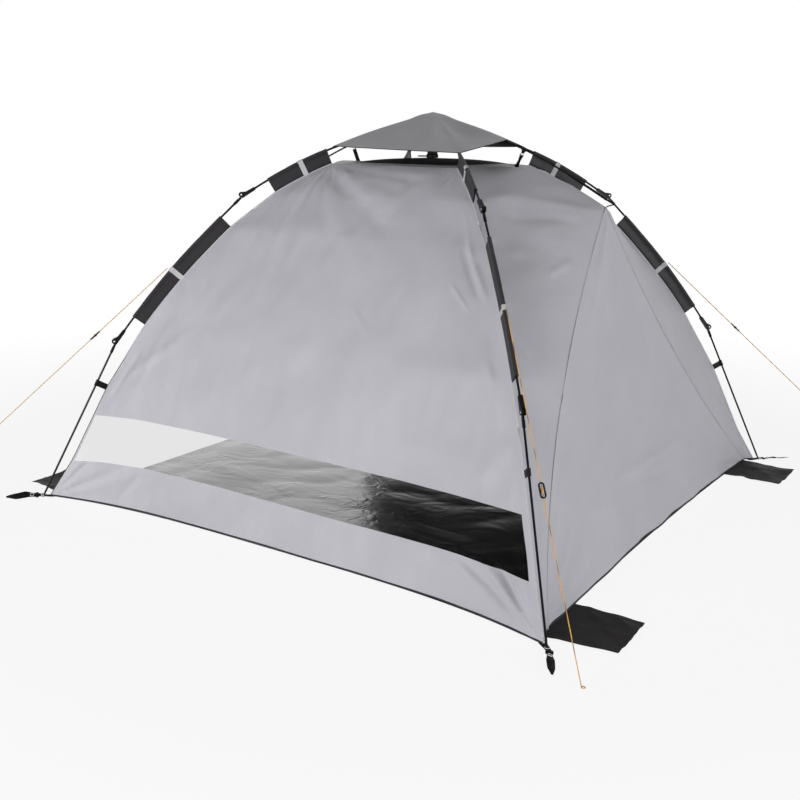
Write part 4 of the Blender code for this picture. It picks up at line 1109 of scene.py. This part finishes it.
def capAt(share, azimuth, lower=0.0):
    # taut over the arms and brow rods, hollow between them, lifted by the hub's knob at the top
    s = capSettings
    point = Vector((0, 0, s["top"])).lerp(capEdge(azimuth), share)
    full = s["fullHollow"]
    hollow = math.sin(math.radians(min(gapTo(azimuth, edgePlaces), full) * (90 / full)))
    overArm = math.exp(-(gapTo(azimuth, corners.values()) / s["armWidth"]) ** 2)
    outer = max(0.0, (share - s["hollowFrom"]) / (1 - s["hollowFrom"]))
    point.z -= s["hollow"] * hollow * math.sin(math.pi * outer ** s["hollowSkew"])
    point.z += s["knobBulge"] * math.exp(-((share - s["knobAt"]) / s["knobWidth"]) ** 2) - lower
    point.z += s["armRise"] * overArm * math.sin(math.pi * share ** s["armSkew"])
    slack = noise.noise(Vector((point.x * s["slackScale"], point.y * s["slackScale"], 4.0)))
    point.z += slack * s["slack"] * hollow * math.sin(math.pi * outer)
    return point


def makeCap(corner):
    s = capSettings
    rows, columns = s["steps"]
    around = np.linspace(corners[corner] - 45, corners[corner] + 45, columns + 1)
    radial = [*np.linspace(*s["shares"], rows + 1), 1.0]
    cap = quarterCloth(f"rainCap_{corner}", corner, capAt, radial, around, ["cap", "hem"],
                       "rain_cap", lambda r, c: r >= rows)
    lining = quarterCloth(f"capLining_{corner}", corner, lambda r, a: capAt(r, a, s["lining"]),
                          radial[:-1], around, ["lining"], "rain_cap")
    for one in (cap, lining):
        declareSheet(one, s["lengths"]["cap"])


def squareAt(azimuth, half, height):
    x, y = math.cos(math.radians(azimuth)), math.sin(math.radians(azimuth))
    most = max(abs(x), abs(y))
    return Vector((half * x / most, half * y / most, height))


def makeRoof(corner):
    s, lengths = canopySizes, capSettings["lengths"]
    rows, columns = capSettings["roofSteps"]
    around = np.linspace(corners[corner] - 45, corners[corner] + 45, columns)
    outer = halfAt(0) - s["seamGap"]
    scale, slack = s["roofSlack"]

    def roofAt(share, angle):
        inner = squareAt(angle, s["ventHalf"], s["ventEdge"])
        point = inner.lerp(squareAt(angle, outer, edgeAt(0).z), share)
        point.z += noise.noise(point * scale) * slack * math.sin(math.pi * share)
        return point

    def netAt(share, angle):
        crest = s["ventEdge"] + (s["ventCrest"] - s["ventEdge"]) * (1 - share ** s["ventDome"])
        return squareAt(angle, s["ventHalf"] * share, crest)

    roof = quarterCloth(f"roofPanel_{corner}", corner, roofAt, np.linspace(0, 1, rows), around,
                        ["silver"], "roof_panel")
    net = quarterCloth(f"ventNet_{corner}", corner, netAt, np.linspace(0.01, 1, rows), around,
                       ["net"], "vent_mesh")
    declareSheet(roof, lengths["roof"])
    declareSheet(net, lengths["net"])


for corner in corners:
    makeCap(corner)
    makeRoof(corner)
print("roof and cap made")


# Straps that hang the ridge from the brow rods: a clip round the rod, a ring and webbing

browStrapSettings = {
    "front": {"reach": (0.388, 0.358), "widths": [1.0, 1.0, 1.0, 1.0, 1.05]},
    "rear": {"reach": (0.402, 0.372), "widths": [1.0, 0.75, 0.6, 0.8, 1.3]},
    "clipRadius": 0.0078, "clipAt": (-0.008, -0.006, 0.006, 0.008), "clipWidths": [0.8, 1, 1, 0.8],
    "tongue": (0.011, 0.005), "tongueAt": (0.005, 0.011, 0.016), "tongueWidths": [1.2, 1, 0.8],
    "ringRadius": 0.0058, "ringWire": 0.0014, "ringAt": 0.018, "ringSteps": 16, "sides": (14, 8),
    "webbing": (0.017, 0.0018), "webbingAt": 0.021, "below": 0.001, "step": 0.01,
}


def makeBrowStrap(label):
    s = browStrapSettings
    around = turn(brows[label])
    high, low = s[label]["reach"]
    top, beyond = (around @ Vector((reach, 0, browHeight(reach)))
                   for reach in (high, high + s["step"]))
    foot = around @ Vector((low, 0, canopySizes["ridge"][0][1] - s["below"]))
    rodWay, way = (beyond - top).normalized(), (foot - top).normalized()
    flatSide = around.to_3x3() @ Vector((0, 1, 0))
    start, radius = top + way * s["webbingAt"], s["ringRadius"]
    barrel, tongue = [top + rodWay * x for x in s["clipAt"]], [top + way * x for x in s["tongueAt"]]
    loop = circle(top + way * s["ringAt"], way * radius, rodWay * radius, s["ringSteps"])
    webbing = [start.lerp(foot, share) for share in (0, 0.25, 0.5, 0.75, 1)]
    clipSides, wireSides = s["sides"]
    rows = [("clip", barrel, ring(s["clipRadius"], clipSides), "nylon", s["clipWidths"]),
            ("tongue", tongue, band(*s["tongue"]), "nylon", s["tongueWidths"]),
            ("ring", loop, ring(s["ringWire"], wireSides), "zinc", None),
            ("webbing", webbing, band(*s["webbing"]), "webbing", s[label]["widths"])]
    made = joined(f"ridgeStrap_{label}", [
        sweep(name, points, section, look, widths=widths, ups=[flatSide] * len(points))
        for name, points, section, look, widths in rows])
    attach(made, f"brow_{label}")
    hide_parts(f"brow_strap_{label}")


for label in brows:
    makeBrowStrap(label)
print("brow straps made")


# Pole sleeves, with the light straps that cross them

sleeveSettings = {
    "radius": 0.0068, "wall": 0.0010, "rows": {"arm": (0.0, 2.0), "mid": (3.0, 7.0)},
    "steps": {"arm": 24, "mid": 40}, "opening": 140, "arcSteps": 12, "uneven": 0.12,
    "unevenPace": 3.1, "wave": 0.0022, "wavePace": 2.3,
    "belly": [(0.35, 1.6), (0.55, 2.4), (0.8, 1.8), (1.0, 0.8)],
    "straps": {"arm": 0.69, "mid": 0.52}, "strapWidth": 0.020, "strapProud": 0.0016,
    "strapEnd": (0.004, 0.0032), "strapOpening": 150,
}


def shareAt(part, row):
    places = [(i, share) for i, (name, share) in enumerate(canopySizes["rows"]) if name == part]
    return float(np.interp(row, *zip(*places)))


def makeSleeve(corner, part):
    # the sleeve's tube is open towards the wall, where a doubled web joins it to the seam
    s = sleeveSettings
    around = turn(corners[corner])
    rows = np.linspace(*s["rows"][part], s["steps"][part] + 1)
    verts = []
    for row in rows:
        centre, foot = poleAt(poles[part], shareAt(part, row)), edgeAt(row)
        drop, out = (centre - foot).length, (centre - foot).normalized()
        uneven = Vector((row * s["unevenPace"], corners[corner], 2.0))
        pull = 1 + s["uneven"] * noise.noise(uneven)
        wavy = Vector((row * s["wavePace"], 5.0, corners[corner] * 0.1))
        wave = s["wave"] * noise.noise(wavy)
        section = arc(s["radius"] * pull, -s["opening"], s["opening"], s["arcSteps"])
        for wall, belly in ((s["wall"], s["belly"]), (-s["wall"], reversed(s["belly"]))):
            section += [(-drop * d, wall * w + wave * math.sin(math.pi * d)) for d, w in belly]
        verts += [around @ (centre + out * x + Vector((0, y, 0))) for x, y in section]
    faces = tubeFaces(len(rows), len(section))
    made = newObject(f"poleSleeve_{part}_{corner}", verts, faces, [looks["sleeve"]])
    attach(made, f"{part}_{corner}")
    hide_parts(f"{part}_sleeve_{corner}")
    # the strap lies over the sleeve, from the wall's seam round the pole and back
    extra, side = s["strapEnd"]
    gap, half = canopySizes["edgeGap"][part] + extra, s["strapWidth"] / 2
    place = around @ poleFrame(poles[part], s["straps"][part])
    opening, radius = s["strapOpening"], s["radius"] + s["strapProud"]
    line = [(-gap, side), *arc(radius, opening, -opening, s["arcSteps"]), (-gap, -side)]
    points = [place @ Vector((x, y, z)) for z in (-half, half) for x, y in line]
    n = len(line)
    faces = [(k, k + 1, k + 1 + n, k + n) for k in range(n - 1)]
    strap = newObject(f"sleeveStrap_{part}_{corner}", points, faces, [looks["strap"]])
    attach(strap, f"{part}_{corner}")


for corner in corners:
    for part in sleeveSettings["rows"]:
        makeSleeve(corner, part)
print("sleeves made")


# Groundsheet, sand flaps and corner webbing

groundSettings = {
    "front": -1.045, "hemHalf": 1.05, "length": 2.13, "steps": 110, "height": 0.0015, "rim": 14,
    "frontRim": 0.02, "waves": ((4.0, 0.006), (1.9, 0.008)), "waveSeed": (5, 2, 0),
    "flapX": (0.780, 1.045), "flapStart": {1: 1.02, -1: 1.03}, "flapReach": 1.280,
    "flapSlant": 0.030, "flapTaper": 0.007, "flapHeight": 0.0025, "flapLength": 0.26,
    "flapSteps": 20, "flapRim": 2.5,
    "flapWaves": ((9.0, 0.25, 0.010), (21.0, 0.0, 0.007)), "ragged": (26.0, 0.004),
}
webbingSettings = {
    "size": (0.025, 0.0024), "reach": (1.500, 1.700), "points": 25, "step": 0.002,
    "skewFrom": 1.575, "rollFrom": 1.545, "rollLength": 0.075,
    "rolls": {"front_right": 65.0, "others": 14.0}, "lift": 0.0024, "ripple": (0.0012, 90),
    "widths": ((1.50, 1.56, 1.60, 1.625, 1.665, 1.70), (1.0, 0.7, 0.7, 1.0, 0.9, 0.25)),
    "stitchings": (1.578, 1.628), "stitched": ((-0.007, -0.005, 0.005, 0.007), (0.7, 1, 1, 0.7)),
    "doubled": (0.9, 2.6), "eyelet": 0.0068, "eyeletWire": 0.0018, "eyeletSpacing": 0.042,
    "eyeletSteps": 20, "sides": 8,
    "tails": {"front_right": (1.215, -1.175), "rear_right": (1.232, 1.178),
              "rear_left": (-1.190, 1.212), "front_left": (-1.212, -1.192)},
}


def leaveOnGround(made):
    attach(made, "canopy")
    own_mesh(made)


def makeLaid(name, pointAt, steps, look, length):
    # cloth that lies on the ground, its face up
    shares = np.linspace(0, 1, steps + 1)
    grid = gridOf(pointAt, shares, shares)
    made = cutPatch(name, grid, -gridNormals(grid), (0, steps), (0, steps), [look])
    leaveOnGround(made)
    declareSheet(made, length)
    return made


def rearHemAt(x):
    # how far back the floor goes at a place across the tent
    s = canopySizes
    corner = halfAt(s["hemRow"])
    right, left = (way * (corner - s["rearSeamMargin"][way]) for way in (1, -1))
    if x > right:
        return s["rearHem"] + (corner - s["rearHem"]) * (x - right) / (corner - right)
    if x < left:
        return s["rearHem"] + (corner - s["rearHem"]) * (left - x) / (corner + left)
    share = (right - x) / (right - left)
    return s["rearHem"] - s["rearHemBow"] * 4 * share * (1 - share)


def floorAt(v, u):
    s = groundSettings
    y = s["front"] + (rearHemAt((2 * u - 1) * s["hemHalf"]) - s["front"]) * v
    across = min(max((y / halfAt(canopySizes["hemRow"]) + 1) / 2, 0), 1)
    place = Vector(((2 * u - 1) * sideAt(1, canopySizes["hemRow"], across).x, y, 0.0))
    (fine, low), (coarse, high) = s["waves"]
    wave = low * abs(noise.noise(place * fine))
    wave += high * max(0, noise.noise(place * coarse + Vector(s["waveSeed"])))
    rim = min(u, 1 - u, v + s["frontRim"], 1 - v)
    place.z = s["height"] + wave * min(1.0, s["rim"] * rim)
    return place


def makeFlap(right, rear):
    s = groundSettings
    near, far = s["flapX"]
    start = s["flapStart"][rear]

    def flapAt(v, u):
        x = near + (far - near) * u - s["flapSlant"] * v * u
        y = start + (s["flapReach"] - start) * v
        place = Vector((right * x, rear * y, 0.0))
        wave = sum(height * max(0, noise.noise(place * scale) + more)
                   for scale, more, height in s["flapWaves"])
        ragged = s["ragged"][1] * noise.noise(place * s["ragged"][0]) * v
        y *= 1 - s["flapTaper"] * (1 - u) * v
        height = s["flapHeight"] + wave * min(1.0, s["flapRim"] * v)
        return Vector((right * (x + ragged), rear * (y + ragged), height))

    name = f"sandFlap_{'rear' if rear > 0 else 'front'}_{'right' if right > 0 else 'left'}"
    makeLaid(name, flapAt, s["flapSteps"], "flap", s["flapLength"])


def makeCornerStrap(corner):
    s = webbingSettings
    around = turn(corners[corner])
    width, thick = s["size"]
    first, last = s["reach"]
    tail = Vector((*s["tails"][corner], 0)) - around @ Vector((last, 0, 0))
    fullRoll = math.radians(s["rolls"].get(corner, s["rolls"]["others"]))

    def strapAt(reach):
        # its middle line and the way its face looks
        skew = max(0.0, (reach - s["skewFrom"]) / (last - s["skewFrom"]))
        roll = fullRoll * min(max((reach - s["rollFrom"]) / s["rollLength"], 0.0), 1.0)
        ripple = s["ripple"][0] * (1 + math.sin(reach * s["ripple"][1]))
        lift = s["lift"] + width / 2 * math.sin(roll) + ripple
        face = around.to_3x3() @ Vector((0, math.sin(roll), math.cos(roll)))
        return around @ Vector((reach, 0, lift)) + tail * skew, face

    def strapPiece(name, reaches, section, widths):
        points, faces = zip(*[strapAt(reach) for reach in reaches])
        return sweep(name, points, section, "webbing", widths=widths, ups=faces)

    reaches = np.linspace(first, last, s["points"])
    widths = list(np.interp(reaches, *s["widths"]))
    pieces = [strapPiece(f"webbing_{corner}", reaches, band(width, thick), widths)]
    # the doubled places where the webbing is stitched back on itself
    offsets, widths = s["stitched"]
    doubled = band(width * s["doubled"][0], thick * s["doubled"][1])
    for reach in s["stitchings"]:
        pieces.append(strapPiece("stitching", [reach + x for x in offsets], doubled, widths))
    for reach in (poleSizes["foot"], poleSizes["foot"] + s["eyeletSpacing"]):
        point, face = strapAt(reach)
        way = (strapAt(reach + s["step"])[0] - point).normalized() * s["eyelet"]
        across = way.cross(face).normalized() * s["eyelet"]
        loop = circle(point + face * thick, way, across, s["eyeletSteps"])
        pieces.append(sweep("eyelet", loop, ring(s["eyeletWire"], s["sides"]), "nickel"))
    made = joined(f"cornerStrap_{corner}", pieces)
    keepAbove(made, seamSettings["lowest"])
    leaveOnGround(made)


floorSheet = makeLaid("floorSheet", floorAt, groundSettings["steps"], "floor",
                      groundSettings["length"])
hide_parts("groundsheet")
for right in sides.values():
    for rear in (1, -1):
        makeFlap(right, rear)
for corner in corners:
    makeCornerStrap(corner)
print("ground made")


# Finishes of the rigid pieces that keep their modelled shape

finishes = {
    "hub_body": "nylon", "hub_runner": "nylon", "hub_link": "zinc",
    "leg_arm": "pole", "mid_pole": "pole", "lower_pole": "pole", "brow_rod": "pole",
    "upper_elbow": "nylon", "lower_elbow": "nylon", "leg_clip": "nylon",
}

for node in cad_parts:
    for start, look in finishes.items():
        if node.startswith(start):
            thing = bpy.data.objects[node]
            for slot in thing.material_slots:
                slot.material = looks[look]
            if not thing.material_slots:
                thing.data.materials.append(looks[look])
print("finishes given")


# Rivet heads on the elbows

rivetSettings = {"radius": 0.0041, "sides": 16, "heights": (0.0074, 0.0090, 0.0096),
                 "widths": (1.0, 0.85, 0.35)}


def makeRivets(corner, part, body):
    s = rivetSettings
    around = turn(corners[corner])
    rivet, up = flat(poleSizes[f"{part}Rivet"]), around.to_3x3() @ Vector((1, 0, 0))
    heads = []
    for side in (-1, 1):
        points = [around @ (rivet + Vector((0, side * y, 0))) for y in s["heights"]]
        section = ring(s["radius"], s["sides"])
        heads.append(sweep("head", points, section, "zinc", s["widths"], [up] * 3))
    made = joined(f"rivets_{part}_{corner}", heads)
    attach(made, body)


for corner in corners:
    makeRivets(corner, "upper", f"arm_{corner}")
    makeRivets(corner, "lower", f"mid_{corner}")
print("rivets made")


# Studio: a white floor and backdrop, and plain soft light

studioSettings = {
    "aim": (0, 0, 0.6), "world": 0.11, "paper": "#FFFFFF", "half": 30, "below": 0.002,
    "glow": {"near": 0.88, "far": 1.0, "from": 2.0, "to": 4.0},
    "lamps": {"windowSide": {"place": (7.4, -0.9, 1.25), "size": 2.1, "power": 335.0},
              "rearSide": {"place": (1.6, 7.5, 1.2), "size": 2.1, "power": 275.0},
              "frontFill": {"place": (-5.7, -4.9, 1.9), "size": 4.4, "power": 75.0}},
}


def seenDirectly(tree):
    # 1 where the camera, a reflection or clear film in front of it looks at the white background
    path = addNode(tree, "LightPath")
    last = path.outputs["Is Camera Ray"]
    for name in ("Is Glossy Ray", "Is Transmission Ray"):
        most = addNode(tree, "Math", {"operation": "MAXIMUM"}, {0: last, 1: path.outputs[name]})
        last = most.outputs["Value"]
    return last


def makeBackdrop():
    s = studioSettings
    look = bpy.data.materials.new("whitePaper")
    look.use_nodes = True
    tree = look.node_tree
    tree.nodes.clear()
    paper = addNode(tree, "BsdfDiffuse", {"Color": toLinear(s["paper"])})
    glow = addNode(tree, "Emission", {"Color": (1, 1, 1, 1), "Strength": 1.0})
    # the paper turns to plain white glow away from the tent, so that no horizon shows
    place = addNode(tree, "TexCoord").outputs["Object"]
    reach = addNode(tree, "VectorMath", {"operation": "LENGTH"}, {0: place})
    spread = addNode(tree, "MapRange", {"From Min": s["glow"]["from"], "From Max": s["glow"]["to"],
                                        "To Min": s["glow"]["near"], "To Max": s["glow"]["far"]},
                     {"Value": reach.outputs["Value"]})
    share = addNode(tree, "Math", {"operation": "MULTIPLY"},
                    {0: seenDirectly(tree), 1: spread.outputs["Result"]})
    mix = addNode(tree, "MixShader", {}, {0: share.outputs["Value"], 1: paper.outputs["BSDF"],
                                          2: glow.outputs["Emission"]})
    addNode(tree, "OutputMaterial", {}, {"Surface": mix.outputs["Shader"]})
    rim = [(x * s["half"], y * s["half"], 0) for x, y in ((-1, -1), (1, -1), (1, 1), (-1, 1))]
    floor = newObject("studioFloor", rim, [(0, 1, 2, 3)], [look])
    floor.location.z = -s["below"]


def makeWorld():
    world = bpy.data.worlds.new("studio")
    bpy.context.scene.world = world
    world.use_nodes = True
    tree = world.node_tree
    tree.nodes.clear()
    plain, white = (addNode(tree, "Background", {"Color": (1, 1, 1, 1), "Strength": strength})
                    for strength in (studioSettings["world"], 1.0))
    mix = addNode(tree, "MixShader", {}, {0: seenDirectly(tree), 1: plain.outputs["Background"],
                                          2: white.outputs["Background"]})
    addNode(tree, "OutputWorld", {}, {"Surface": mix.outputs["Shader"]})


def makeLamps():
    for name, lamp in studioSettings["lamps"].items():
        data = bpy.data.lights.new(name, "AREA")
        data.energy, data.size = lamp["power"], lamp["size"]
        made = putInScene(name, data)
        made.location = lamp["place"]
        aim = Vector(studioSettings["aim"]) - Vector(lamp["place"])
        made.rotation_euler = aim.to_track_quat("-Z", "Y").to_euler()


makeBackdrop()
makeWorld()
makeLamps()
bpy.context.scene.view_settings.view_transform = "Standard"
print("studio made")
